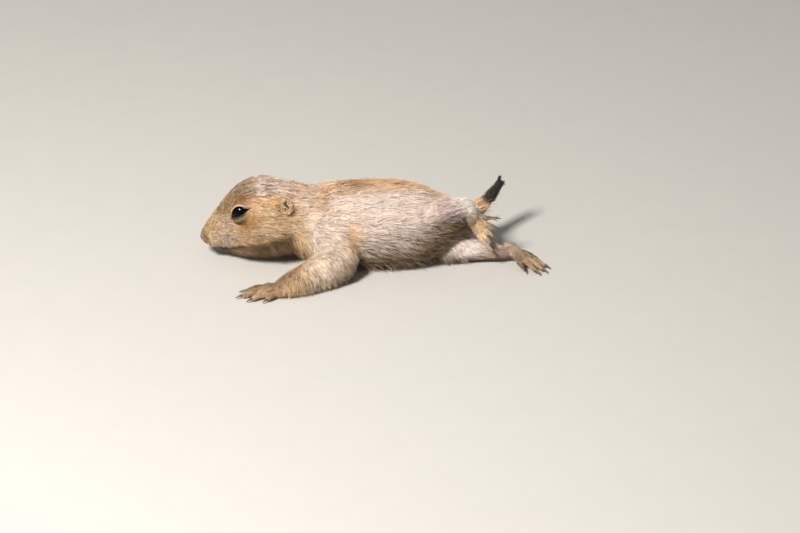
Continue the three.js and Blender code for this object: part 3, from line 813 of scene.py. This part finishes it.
def backness(points):
    """1 along the back and -1 along the belly, which roll towards the tail as the hips turn."""
    body = body_places(points)
    roll = np.radians(np.interp(body[:, 0], [-40, -10, 15, 35, 50], [4, 12, 24, 38, 52]))
    middle_y = np.interp(body[:, 0], [-40, 20, 50], [0, 1, 9])
    middle_z = np.interp(body[:, 0], [-40, -6, 20, 50], [24, 20.3, 19.8, 18.5])
    half = np.interp(body[:, 0], [-40, -6, 20, 50], [18, 23.5, 21.5, 9])
    return ((body[:, 1] - middle_y) * np.sin(roll) + (body[:, 2] - middle_z) * np.cos(roll)) / half


class Coat:
    """The coat's colour at each point, and the share of dark hairs there, built up patch by patch."""

    def __init__(self, points):
        self.colour = np.tile(CREAM, (len(points), 1)).astype(float)
        self.dark = np.full(len(points), 0.05)

    def lay(self, share, colour, dark=None):
        share = np.clip(share, 0, 1)
        self.colour += (np.array(colour) - self.colour) * share[:, None]
        if dark is not None:
            self.dark += (dark - self.dark) * share

    def lay_patches(self, shape, places, patches):
        for middle, half_sizes, strength, colour, dark in patches.values():
            self.lay(shape(places, middle, half_sizes) * strength, colour, dark)


def markings(points):
    body = body_places(points)
    coat = Coat(points)
    mark_trunk(coat, body, backness(points))
    coat.lay_patches(spot, body, LIMB_PATCHES)
    mark_tail(coat, body)
    mark_head(coat, in_head(points))
    return coat.colour, coat.dark


def mark_trunk(coat, body, up):
    coat.lay(smooth_step(0.7, 0.93, up), BUFF, 0.1)
    coat.lay(smooth_step(0.9, 0.99, up) * 0.7, ORANGE, 0.2)
    coat.lay(spot(body, (-15, 4, 43), (9, 9, 4)) * 0.9, BROWN, 0.3)
    coat.lay(smooth_step(0.1, -0.35, up) * 0.85, GREY, 0.26)
    # painted shade: the lowest belly is laid darker olive, partly its own darker hair and dirt, mostly
    # the shade where it turns down from the light
    coat.lay(smooth_step(-0.4, -0.75, up) * 0.85, OLIVE, 0.3)
    coat.lay_patches(spot, body, TRUNK_PATCHES)


def mark_tail(coat, body):
    """The end of the tail is black."""
    start_of_black = np.array((56.4, 16.4, 21))
    along = (body - start_of_black) @ np.array((0.55, 0.62, 0.5))
    coat.lay(smooth_step(-1.5, 1.5, along) * smooth_step(10, 13, body[:, 1]), BLACK, 0.1)


def mark_head(coat, head):
    lay = coat.lay
    ahead, high = head[:, 0], head[:, 2]
    on_head = smooth_step(-24, -16, ahead) * smooth_step(60, 45, np.linalg.norm(head, axis=1))
    lay(on_head * 0.9, CHEEK, 0.12)
    top = on_head * smooth_step(10, 15, high)
    lay(top * smooth_step(4, -2, ahead), CROWN, 0.3)
    lay(top * smooth_step(-2, 5, ahead), FOREHEAD, 0.3)
    lay(on_head * smooth_step(10, 15, ahead) * smooth_step(8, 11, high), NOSE_TOP, 0.24)
    coat.lay_patches(both_sides, head, HEAD_PATCHES)
    # painted shade under the jaw, which turns down away from the light
    under_jaw = on_head * smooth_step(-6, -10, high) * smooth_step(-18, -8, ahead)
    lay(under_jaw * 0.9, JAW_SHADE, 0.12)
    coat.lay_patches(both_sides, head, LIP_PATCHES)
    lay(smooth_step(32.5, 34.5, ahead) * smooth_step(4, 1, high), NOSE_FRONT, 0.05)
    for eye in EYES.values():
        apart, below = eye.apart(head), eye.below(head)
        lay(smooth_step(1.2, 0.7, apart) * (1 - below), LID_LINE, 0.0)
        lay(smooth_step(3.0, 2.6, apart) * below, LID_BELOW, 0.0)
        # painted shade in the folds round the lower lid
        lay(eye.crease(head) * 0.9, LID_CREASE_SHADE, 0.0)
    # painted shade along the gap between the lips
    lay(mouth_share(head), MOUTH_LINE, 0.0)
    # painted shade in the slit of each nostril
    lay(nostril_share(head), NOSTRIL, 0.0)


# how high the line between the lips runs, from the corner of the mouth to the front
MOUTH_AHEAD = (15.8, 20, 26, 31, 34.4, 36.2)
MOUTH_HIGH = (-8.8, -9.3, -9, -8.1, -7.2, -6.8)


def mouth_share(head):
    """1 on the line between the lips, and 0 at a millimetre from it."""
    across = np.abs(head[:, 2] - np.interp(head[:, 0], MOUTH_AHEAD, MOUTH_HIGH))
    return smooth_step(1.0, 0.45, across) * smooth_step(13, 16, head[:, 0])


NOSTRIL_LINE = [(36.8, 2.2, 1.3), (35.9, 3.7, 0.3), (34.8, 4.6, -1.1), (33.8, 5.3, -2.4)]


def nostril_share(head):
    """1 in the slit of each nostril, which curves from the front of the nose back and down."""
    folded = np.c_[head[:, 0], np.abs(head[:, 1]), head[:, 2]]
    return near_path(folded, NOSTRIL_LINE, 0.55)


# Skin

LIMB_NODES = [
    f"{side}_{part}"
    for side in ("left", "right")
    for part in ("upper_arm", "forearm", "forefoot", "thigh", "shank", "hindfoot")
]
FLESH = ["head", "neck", "torso", "tail_base", "tail_tip", *LIMB_NODES]
SWELL = 0.24 * MM  # of the solids, so that they meet

# the ball of each foot, and the way its toes point
FEET = [
    ((-59.3, -46.4, 3), (-0.92, -0.39, 0)),
    ((-59.5, 33, 3), (-0.98, 0.18, 0)),
    ((55.6, -7, 21.4), (0.68, -0.5, -0.52)),
    ((80.6, -12.4, 4.6), (0.76, -0.62, -0.14)),
]

# soft folds of skin where the legs leave the body, each with its middle and its half sizes
FOLDS = [
    ((37, -7.5, 7.5), (9, 6, 5.5)),
    ((50, -5.5, 27), (4.5, 3.5, 6)),
    ((-19, -28.5, 13.5), (6, 5.5, 7)),
    ((-27, -31, 15.5), (7, 6, 6.5)),
    ((-34, -15.5, 21), (5, 6, 9)),
]


def on_toes(body):
    """1 on the toes, and 0 from the ball of each foot back."""
    share = np.zeros(len(body))
    for ball, ahead in FEET:
        apart = body - np.array(ball)
        near = np.linalg.norm(apart, axis=1) < 19
        share = np.maximum(share, near * smooth_step(-3, 0, apart @ np.array(ahead)))
    return share


def add_folds(skin):
    """Soft folds joined to the skin before it is drawn as one."""
    folds = []
    for middle, half_sizes in FOLDS:
        deselect_all()
        bpy.ops.mesh.primitive_uv_sphere_add(segments=24, ring_count=16, radius=MM)
        fold = bpy.context.object
        fold.scale = half_sizes
        fold.location = body_point(*middle)
        bring_home(fold)
        folds.append(fold)
    join([skin, *folds])


GROOVE = 0.55 * MM  # how deep the line of the mouth and the nostrils are cut
SKIN_ABOVE_FLOOR = 0.05 * MM
HAIRS_ABOVE_FLOOR = 0.03 * MM
UNDERFUR = 0.85  # how bright the skin is against the hairs on it


def make_skin(material):
    """One skin from the flesh of the solids, smoothed across its seams and sunk under the coat."""
    skin = copy_of_nodes("skin", FLESH, swell=SWELL)
    add_folds(skin)
    add_modifier(skin, "REMESH", mode="VOXEL", voxel_size=VOXEL)
    keep_sharp(skin)
    add_modifier(skin, "SMOOTH", factor=0.5, iterations=16, vertex_group="loose")
    add_modifier(skin, "SMOOTH", factor=0.5, iterations=110, vertex_group="joints")
    add_modifier(skin, "DECIMATE", ratio=KEPT_SHARE)
    refine_face(skin)
    points = coordinates(skin.data)
    normals = vertex_normals(skin.data)
    _, values = lie_of_coat(points, normals)
    head = in_head(points)
    bare = np.maximum(mouth_share(head), smooth_step(35, 36.5, head[:, 0]))
    depth = values[:, DEPTH] * (1 - bare) + SWELL * (1 - on_toes(body_places(points)))
    depth += GROOVE * np.maximum(mouth_share(head), nostril_share(head))
    points -= normals * depth[:, None]
    points = seat_eyes(points)
    points[:, 2] = np.maximum(points[:, 2], SKIN_ABOVE_FLOOR)
    set_coordinates(skin.data, points)
    smooth_faces(skin)
    unwrap(skin)
    colours, dark = markings(points)
    paint_points(skin.data, colours * (1 - 0.6 * dark[:, None]) * UNDERFUR)
    finish_piece(skin, material, FLESH)
    return skin


# where the limbs, neck and tail join the body, and how far round
JOINTS = [
    ((-50, 0, 36), (8, 22, 18)),
    ((-38, 0, 30), (14, 30, 24)),
    ((-22, -20, 20), (13, 12, 15)),
    ((-22, 20, 20), (13, 12, 15)),
    ((30, -13, 28), (15, 11, 12)),
    ((38, -6, 10), (10, 10, 10)),
    ((50, -5, 28), (5, 6, 7)),
    ((50, 9, 20), (6, 7, 7)),
    ((-19, -30, 15), (7, 7, 8)),
    ((-27, -31, 18), (8, 7, 7)),
    ((-33, -22, 20), (7, 7, 10)),
]

PAWS = [(-63, -48, 3), (-66, 34, 3), (58, -11, 18), (86, -17, 4)]  # each foot's middle


def keep_sharp(skin):
    """Weights that let the body smooth freely, and spare the face and the feet."""
    points = coordinates(skin.data)
    head, body = in_head(points), body_places(points)
    loose = np.ones(len(points))
    loose *= 1 - 0.8 * smooth_step(2, 12, head[:, 0])
    loose *= 1 - 0.95 * on_toes(body)
    for centre in PAWS:
        loose *= 1 - 0.85 * spot(body, centre, (10, 9, 9))
    joints = np.zeros(len(points))
    for centre, radii in JOINTS:
        joints = np.maximum(joints, spot(body, centre, radii))
    joints *= 1 - smooth_step(-6, 0, head[:, 0])
    for name, share in (("loose", loose), ("joints", joints)):
        group = skin.vertex_groups.new(name=name)
        levels = np.round(share, 1)
        for level in np.unique(levels):
            group.add(np.flatnonzero(levels == level).tolist(), float(level), "REPLACE")


def refine_face(skin):
    """Halves the faces round the eyes, nose and mouth, where the detail is finest."""
    only(skin)
    head = in_head(read(skin.data.polygons, "center"))
    skin.data.polygons.foreach_set("select", (head[:, 0] > 3) & (head[:, 2] > -15))
    bpy.ops.object.mode_set(mode="EDIT")
    bpy.ops.mesh.subdivide(number_cuts=1, smoothness=0.4)
    bpy.ops.object.mode_set(mode="OBJECT")


def unwrap(piece):
    """An unwrap of the piece's own shape, in the map named OFBake."""
    only(piece)
    piece.data.uv_layers.new(name=BAKED_MAP)
    edit_whole(piece, bpy.ops.uv.smart_project, angle_limit=radians(66), island_margin=0.002)


# Coat


class Ground:
    """Where tufts can root: random places on a skin, with the skin's normal and unwrap there."""

    def __init__(self, piece):
        mesh = piece.data
        mesh.calc_loop_triangles()
        self.corners = read(mesh.loop_triangles, "vertices", kind=int)
        self.points = coordinates(mesh)
        self.normals = vertex_normals(mesh)
        flat_map = read(mesh.uv_layers[BAKED_MAP].data, "uv", 2)
        self.places = flat_map[read(mesh.loop_triangles, "loops", kind=int)]

    def scatter(self, count, wanted):
        """Places for so many tufts, crowded where the wanted number a square metre is high."""
        a, b, c = (self.points[self.corners[:, i]] for i in range(3))
        area = np.linalg.norm(np.cross(b - a, c - a), axis=1) / 2
        share = np.cumsum(area * wanted((a + b + c) / 3, self.normals[self.corners[:, 0]]))
        chosen = np.searchsorted(share, chance.random(count) * share[-1])
        u, v = chance.random(count), chance.random(count)
        over = u + v > 1
        u[over], v[over] = 1 - u[over], 1 - v[over]
        weights = np.stack([1 - u - v, u, v], axis=1)[:, :, None]
        corners = self.corners[chosen]
        roots = np.sum(self.points[corners] * weights, axis=1)
        normals = np.sum(self.normals[corners] * weights, axis=1)
        normals /= np.linalg.norm(normals, axis=1, keepdims=True)
        return roots, normals, np.sum(self.places[chosen] * weights, axis=1)


def crowding(points, normals):
    """Tufts wanted for each square metre: enough to cover the skin about three times."""
    _, values = lie_of_coat(points, normals)
    head = in_head(points)
    wanted = 3 / (0.5 * values[:, LENGTH] * values[:, WIDTH])
    low = body_places(points)[:, 2]
    pressed = smooth_step(1.2, 0.2, low) * smooth_step(-0.5, -0.9, normals[:, 2])
    lids = [eye.apart(head) - eye.bare(head) for eye in EYES.values()]
    nose = smooth_step(35, 36.4, head[:, 0])
    lips = mouth_share(head)
    return wanted * (1 - 0.97 * pressed) * (np.minimum(*lids) > -0.2) * (1 - nose) * (1 - lips)


def corner_values(cells, seed):
    """A fixed value from -1 to 1 for each corner of a grid of cubes."""
    mixed = (cells[:, 0] * 73856093) ^ (cells[:, 1] * 19349663) ^ (cells[:, 2] * 83492791) ^ seed
    mixed = (mixed ^ (mixed >> 13)) * 1274126177
    return ((mixed ^ (mixed >> 16)) & 0xFFFF) / 32767.5 - 1


def soft_noise(places, seed):
    """Smooth noise from -1 to 1 that changes over about one unit."""
    cells = np.floor(places).astype(np.int64)
    ease = places - cells
    ease = ease * ease * (3 - 2 * ease)
    total = np.zeros(len(places))
    for corner in np.ndindex(2, 2, 2):
        weight = np.prod(np.where(corner, ease, 1 - ease), axis=1)
        total += weight * corner_values(cells + np.array(corner), seed)
    return total


def streaks(points, size, stretch, seed):
    """The same noise drawn out along each stretch of the body, in streaks this wide."""
    holds = tract_holds(points)
    total = np.zeros(len(points))
    for tract, hold in zip(TRACTS, holds.T):
        strong = hold > 0.04
        way = tract.direction()
        near = points[strong]
        drawn = near - (1 - 1 / stretch) * (near @ way)[:, None] * way
        total[strong] += hold[strong] * soft_noise(drawn / size, seed)
    return total / np.sqrt(np.sum(holds**2, axis=1))


def tuft_shapes(roots, normals, way, values):
    """Every tuft as five points: its root, three round its thickest part, and its tip."""
    count = len(roots)
    length = values[:, LENGTH] * chance.uniform(0.7, 1.25, count)
    width = values[:, WIDTH] * chance.uniform(0.7, 1.25, count)
    sway = radians(20) * soft_noise(roots / (4.5 * MM), 1)
    sway += radians(14) * streaks(roots, 1.2 * MM, 4, 2)
    sway += chance.normal(0, radians(5), count)
    ruffle = 1 + 0.8 * streaks(roots, 1.4 * MM, 5, 3) + chance.normal(0, 0.22, count)
    ruffle += 1.6 * (chance.random(count) < 0.08)
    steepest = np.maximum(radians(26), values[:, LIFT])
    lift = np.minimum(values[:, LIFT] * np.clip(ruffle, 0.25, 3), steepest)
    way = way * np.cos(sway)[:, None] + np.cross(normals, way) * np.sin(sway)[:, None]
    aside = np.cross(normals, way)
    run, rise = length * np.cos(lift), length * np.sin(lift)
    root = roots - normals * 0.12 * MM  # a little inside the skin
    middle = roots + way * (run * 0.42)[:, None] + normals * (rise * 0.55)[:, None]
    tip = roots + way * run[:, None] + normals * (rise * 0.92)[:, None]
    half = aside * (width / 2)[:, None]
    ridge = normals * (width * 0.28)[:, None]
    return np.stack([root, middle - half, middle + half, middle + ridge, tip], axis=1)


TUFT_FACES = np.array([(0, 2, 1), (0, 3, 2), (0, 1, 3), (1, 2, 4), (2, 3, 4), (3, 1, 4)])
TUFT_PATCH = np.array([(0, -1), (-1, 0), (1, 0), (0, -0.1), (0, 1)]) * PATCH / 2
LIGHTEST = 0.92  # that any hair may be


def tuft_colours(roots):
    """A tuft's colour follows the markings, a little lighter or darker than its neighbours, and runs
    from a dark root to a light tip: partly the hairs' own darker underfur, partly painted shade at the
    root and painted light at the tip.
    """
    colour, dark = markings(roots)
    count = len(roots)
    fine, broad = streaks(roots, 0.45 * MM, 9, 4), streaks(roots, 1.2 * MM, 6, 5)
    level = chance.normal(0, 0.08, count) + (0.2 + 0.6 * dark) * fine
    level = np.exp(level + (0.08 + 0.6 * dark) * broad)
    flecks = 1 + 3.2 * streaks(roots, 0.6 * MM, 6, 6)
    dark_hair = chance.random(count) < dark * flecks
    level = np.where(dark_hair, level * chance.uniform(0.25, 0.5, count), level)
    # painted shade and light along each tuft: darker at the root, where the coat shades it, and lighter
    # at the tip, partly the hairs' own darker underfur
    at_root, midway, at_tip = 0.72 - 0.7 * dark, 0.97 - 0.3 * dark, 1.1 + 0.35 * dark
    along = np.stack([at_root, midway, midway, midway, at_tip], axis=1)
    shaded = (colour * level[:, None])[:, None, :] * along.clip(0.2)[:, :, None]
    return np.clip(shaded, 0.004, LIGHTEST)


def let_hang(way, values, normals, hang):
    """Long hairs leave the lie of the coat and sag, where they can do so without entering the skin."""
    lift = values[:, LIFT, None]
    free = way * np.cos(lift) + normals * np.sin(lift) - np.array((0, 0, hang))
    free /= np.linalg.norm(free, axis=1, keepdims=True)
    out = np.clip(np.sum(free * normals, axis=1), 0.12, 0.85)
    values[:, LIFT] = np.arcsin(out)
    return along_skin(free, normals)


def lay_coat(name, roots, normals, places, material, slot_name, change=None, pale=1.0, hang=0.0):
    """Pieces of coat from tufts at these roots, each small enough to be kept whole."""
    order = np.argsort(roots[:, 0])
    roots, normals, places = roots[order], normals[order], places[order]
    way, values = lie_of_coat(roots, normals)
    if change is not None:
        values = values * np.array(change)
    if hang:
        way = let_hang(way, values, normals, hang)
    shapes = tuft_shapes(roots, normals, way, values)
    shapes[:, :, 2] = np.maximum(shapes[:, :, 2], HAIRS_ABOVE_FLOOR)
    colours = np.minimum(tuft_colours(roots) * pale, LIGHTEST)
    parts = int(np.ceil(len(roots) / TUFTS_IN_A_PIECE))
    for number, chosen in enumerate(np.array_split(np.arange(len(roots)), parts), start=1):
        mesh = bpy.data.meshes.new(f"{name}_{number}")
        starts = np.arange(len(chosen))[:, None, None] * 5
        faces = (TUFT_FACES[None] + starts).reshape(-1, 3)
        mesh.from_pydata(shapes[chosen].reshape(-1, 3), [], faces)
        paint_points(mesh, colours[chosen].reshape(-1, 3))
        layer = mesh.uv_layers.new(name=BAKED_MAP)
        patches = (places[chosen][:, None, :] + TUFT_PATCH[None]).reshape(-1, 2)
        layer.data.foreach_set("uv", patches[faces.ravel()].ravel())
        finish_piece(new_piece(f"{name}_{number}", mesh), material)


# times the length, width, lift and depth of the fur about them
BRUSH_HAIRS = (0.9, 1, 1.4, 1)
RUMP_HAIRS = (1.2, 0.8, 2.4, 1)
LONG_HAIRS = (1.8, 0.75, 1.4, 1)
EAR_DOWN = (0.5, 0.75, 1.2, 1)

TAIL_ROOT = np.array((48, 8, 18.6))
TAIL_WAY = np.array((0.6, 0.64, 0.48))


def make_coat(skin, material):
    ground = Ground(skin)
    lay_coat("coat", *ground.scatter(TUFTS, crowding), material, "fur")
    brush = ground.scatter(TUFTS // 40, on_tail)
    lay_coat("tail_brush", *brush, material, "black_fur", BRUSH_HAIRS)
    rump = ground.scatter(TUFTS // 200, on_rump)
    lay_coat("rump_hairs", *rump, material, "fur", RUMP_HAIRS, pale=1.2)
    long_hairs = ground.scatter(TUFTS // 20, fringes)
    lay_coat("long_hairs", *long_hairs, material, "fur", LONG_HAIRS, pale=1.5, hang=0.8)


def on_tail(points, normals):
    apart = body_places(points) - TAIL_ROOT
    along = apart @ TAIL_WAY
    beside = np.linalg.norm(apart - along[:, None] * TAIL_WAY, axis=1)
    return smooth_step(5, 9, along) * (beside < 9)


def on_rump(points, normals):
    """Hairs that stand up round the root of the tail."""
    return spot(body_places(points), (50, 11, 23), (5, 5, 4)) * smooth_step(-0.1, 0.4, normals[:, 2])


def fringes(points, normals):
    """Where single long hairs stand out: below the jaw and throat, the belly's edge and the limbs."""
    head, body = in_head(points), body_places(points)
    jaw = smooth_step(-8, -12, head[:, 2]) * smooth_step(-34, -26, head[:, 0])
    jaw *= smooth_step(26, 18, head[:, 0])
    low = smooth_step(11, 5, body[:, 2]) * smooth_step(0.2, -0.4, normals[:, 2])
    trunk = smooth_step(-60, -45, body[:, 0]) * smooth_step(50, 40, body[:, 0])
    tail = spot(body, (54, 14, 22), (5, 6, 6))
    free = smooth_step(0.3, 0.8, body[:, 2])
    return (2 * jaw + low * trunk + 1.5 * tail) * free + 0.01


# Ears, nose, claws and whiskers


def ring_path(middle, radius):
    turns = np.linspace(0, 2 * pi, 13)
    return [(middle[0] + radius * cos(turn), middle[1] + radius * sin(turn)) for turn in turns]


EAR_MIDDLES = {"left_ear": (-15.3, 14.9, 6.9), "right_ear": (-15.3, -14.9, 3.1)}
EAR_HALF_WIDE, EAR_HALF_HIGH = 3.4, 4.4  # of the fold round the hollow
EAR_LEVEL = 0.1  # how far out of its middle the fold of an ear is kept in full
EAR_TUFTS = 2600

# lines on an ear: their places ahead and up of its middle, and how wide they are
EAR_LINES = {
    "hole": ([(1.3, -2.7), (0.1, -2.3)], 0.75),
    "groove": ([(-0.3, 0.4), (-1.2, -0.7), (-1.8, -2.1)], 0.5),
    "notch": ([(-0.4, 2.2), (-1.3, 2.4)], 0.9),
    "channel": ([(-0.7, 2.2), (-0.4, 0.5)], 0.5),
    "ring": (ring_path((0.7, -2.2), 1.6), 0.5),
    "front": ([(2.2, 3.4), (1.6, 1.2)], 1.5),
    "top": ([(-1.5, 4.2), (-3, 3)], 1.4),
    "lower rim": ([(2.3, -2.9), (1.3, -3.8), (-0.2, -3.6)], 0.5),
}


def ear_axes(name):
    side = 1 if name == "left_ear" else -1
    out = Vector((0.24, 0.86 * side, 0.46)).normalized()
    ahead = (Vector((1, 0, 0)) - out * out.x).normalized()
    up = out.cross(ahead)
    if up.z < 0:
        up.negate()
    return [np.array(v) for v in (ahead, up, out)]


def near_path(places, path, width):
    """1 on a line through the places of a path, and 0 well beside it."""
    nearest = np.full(len(places), np.inf)
    for start, end in zip(path[:-1], path[1:]):
        start, way = np.array(start), np.subtract(end, start)
        share = np.clip((places - start) @ way / (way @ way + TINY), 0, 1)
        nearest = np.minimum(nearest, np.linalg.norm(places - start - share[:, None] * way, axis=1))
    return np.exp(-((nearest / width) ** 2))


def ear_places(head, name):
    """Places as millimetres ahead of the middle of an ear, above it and out of it."""
    return np.stack([(head - EAR_MIDDLES[name]) @ axis for axis in ear_axes(name)], axis=1)


def ear_reach(places):
    """1 on the outline of the fold of an ear."""
    return np.hypot(places[:, 0] / EAR_HALF_WIDE, places[:, 1] / EAR_HALF_HIGH)


def make_ears(material, fur_material):
    """The ears: a low furred fold round a hollow, with the opening low in it and a notch above."""
    for name in EAR_MIDDLES:
        ear = copy_of_nodes(name + "_cup", [name])
        add_modifier(ear, "REMESH", mode="VOXEL", voxel_size=FINE_VOXEL)
        add_modifier(ear, "SMOOTH", factor=0.5, iterations=6)
        head = in_head(coordinates(ear.data))
        places = ear_places(head, name)
        deep = places[:, 2]
        line = {part: near_path(places[:, :2], *value) for part, value in EAR_LINES.items()}
        hollow = smooth_step(1.05, 0.75, ear_reach(places)) * smooth_step(-2.2, -1.6, deep)
        # the hole, groove and notch are sunk, and painted near black as the shade in them
        dark = line["hole"] + line["groove"] + line["notch"] + 0.5 * line["channel"]
        dark = np.clip(dark, 0, 1)
        level = 0.15 + 0.5 * line["ring"] - 1.8 * dark
        low_rim = EAR_LEVEL + (deep - EAR_LEVEL) * 0.2 - 0.5 * smooth_step(-1.5, -3, places[:, 0])
        shaped = np.where(deep > EAR_LEVEL, low_rim, deep) * (1 - hollow) + level * hollow
        head += (shaped - deep)[:, None] * ear_axes(name)[2]
        set_coordinates(ear.data, from_head(head))
        smooth_faces(ear)
        unwrap(ear)
        paint_points(ear.data, ear_colours(line, hollow, dark))
        finish_piece(ear, material, [name])
        down = Ground(ear).scatter(EAR_TUFTS, ear_crowding)
        lay_coat(name + "_down", *down, fur_material, "fur", EAR_DOWN)


def ear_colours(line, hollow, dark):
    """Brown skin with a paler top, ring and lower rim, and near-black painted shade in its hole, groove
    and notch.
    """
    coat = Coat(hollow)
    coat.lay(np.ones(len(hollow)), (0.3, 0.19, 0.1))
    coat.lay(line["front"], (0.42, 0.23, 0.08))
    coat.lay(line["top"], (0.5, 0.38, 0.26))
    coat.lay(0.8 * line["ring"] * hollow, (0.46, 0.4, 0.33))
    coat.lay(line["lower rim"], (0.62, 0.54, 0.45))
    coat.lay(0.5 * line["channel"] * hollow, (0.2, 0.11, 0.05))
    # painted shade in the ear's hole, groove and notch
    coat.lay(dark * smooth_step(0.1, 0.5, hollow), (0.02, 0.012, 0.008))
    return coat.colour


def ear_crowding(points, normals):
    """Down grows on the fold of the ear and not in its hollow."""
    wanted = np.zeros(len(points))
    for name in EAR_MIDDLES:
        places = ear_places(in_head(points), name)
        deep = places[:, 2]
        wanted += (ear_reach(places) > 0.62) * (np.abs(deep) < 6) * (deep > -1.5)
    return wanted


def make_nose(material):
    nose = copy_of_nodes("nose_pad", ["nose"], swell=0.2 * MM)
    add_modifier(nose, "REMESH", mode="VOXEL", voxel_size=FINE_VOXEL)
    add_modifier(nose, "SMOOTH", factor=0.5, iterations=3)
    smooth_faces(nose)
    finish_piece(nose, material, ["nose"])


def make_claws(material):
    names = sorted(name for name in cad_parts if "_claw_" in name)
    claws = copy_of_nodes("claws", names)
    add_modifier(claws, "SUBSURF", levels=2, render_levels=2)
    smooth_faces(claws)
    finish_piece(claws, material, names)


WHISKER_SIDES, WHISKER_STEPS = 4, 6


def make_whiskers(material):
    """A few fine dark bristles on each side, swept back from the upper lip."""
    points, faces = [], []
    for side in (1, -1):
        for row in range(3):
            for place in range(4):
                root = Vector((31 - place * 2.4, (4.6 + place * 1.2) * side, -3.4 - row * 1.3))
                sweep = 0.55 + 0.12 * place
                way = Vector((-sweep, 0.62 * side, 0.16 - 0.16 * row)).normalized()
                length = 9 + 2.2 * place + chance.uniform(-1, 1)
                add_whisker(points, faces, root, way, length, Vector((0, 0, -0.9 - 0.3 * row)))
    mesh = bpy.data.meshes.new("whiskers")
    mesh.from_pydata([tuple(point) for point in points], [], faces)
    whiskers = new_piece("whiskers", mesh)
    smooth_faces(whiskers)
    finish_piece(whiskers, material)


def add_whisker(points, faces, root, way, length, droop):
    """One thin bristle that tapers to its tip, closed at both ends."""
    sides, base = WHISKER_SIDES, len(points)
    around = way.orthogonal().normalized()
    for step in range(WHISKER_STEPS + 1):
        share = step / WHISKER_STEPS
        centre = root + way * length * share + droop * share * share
        radius = 0.075 * (1 - share) + 0.012
        for corner in range(sides):
            turn = Matrix.Rotation(2 * pi * corner / sides, 3, way)
            points.append(head_point(*(centre + turn @ around * radius)))
    tip = base + WHISKER_STEPS * sides
    for start in range(base, tip, sides):
        for corner in range(sides):
            a, b = start + corner, start + (corner + 1) % sides
            faces.append((a, b, b + sides, a + sides))
    faces.append(tuple(reversed(range(base, base + sides))))
    faces.append(tuple(range(tip, tip + sides)))


# Floor and light


def set_stage():
    bpy.ops.mesh.primitive_plane_add(size=8, location=(0, 0, 0))
    floor = bpy.context.object
    floor.name = "floor"
    pale = Finish("pale_floor", Roughness=0.9, Specular_IOR_Level=0.1)
    pale.mottle(pale.speckle(60, 3), (0.5, 0.48, 0.45), (0.53, 0.505, 0.47))
    floor.data.materials.append(pale.material)
    world = bpy.data.worlds.new("studio")
    world.use_nodes = True
    sky = world.node_tree.nodes["Background"]
    sky.inputs["Color"].default_value = (0.93, 0.96, 1, 1)
    sky.inputs["Strength"].default_value = 0.3
    bpy.context.scene.world = world
    soft_light("key", (-0.52, -0.67, 0.98), 0.3, 27, (1, 0.965, 0.91))
    bpy.context.scene.view_settings.view_transform = "Standard"


def soft_light(name, place, size, power, colour):
    bpy.ops.object.light_add(type="AREA", location=place)
    light = bpy.context.object
    light.name = name
    light.data.shape = "DISK"
    light.data.size = size
    light.data.energy = power
    light.data.color = colour
    light.rotation_euler = (-Vector(place)).to_track_quat("-Z", "Y").to_euler()


# The model

set_camera()
set_stage()
fur = fur_finish()
skin = make_skin(skin_finish())
make_coat(skin, fur)
wet_black = eye_finish()
make_eyeball("left", wet_black)
make_eyeball("right", wet_black)
make_lids(skin, lid_finish())
make_ears(ear_finish(), fur)
make_nose(nose_finish())
make_claws(claw_finish())
make_whiskers(whisker_finish())
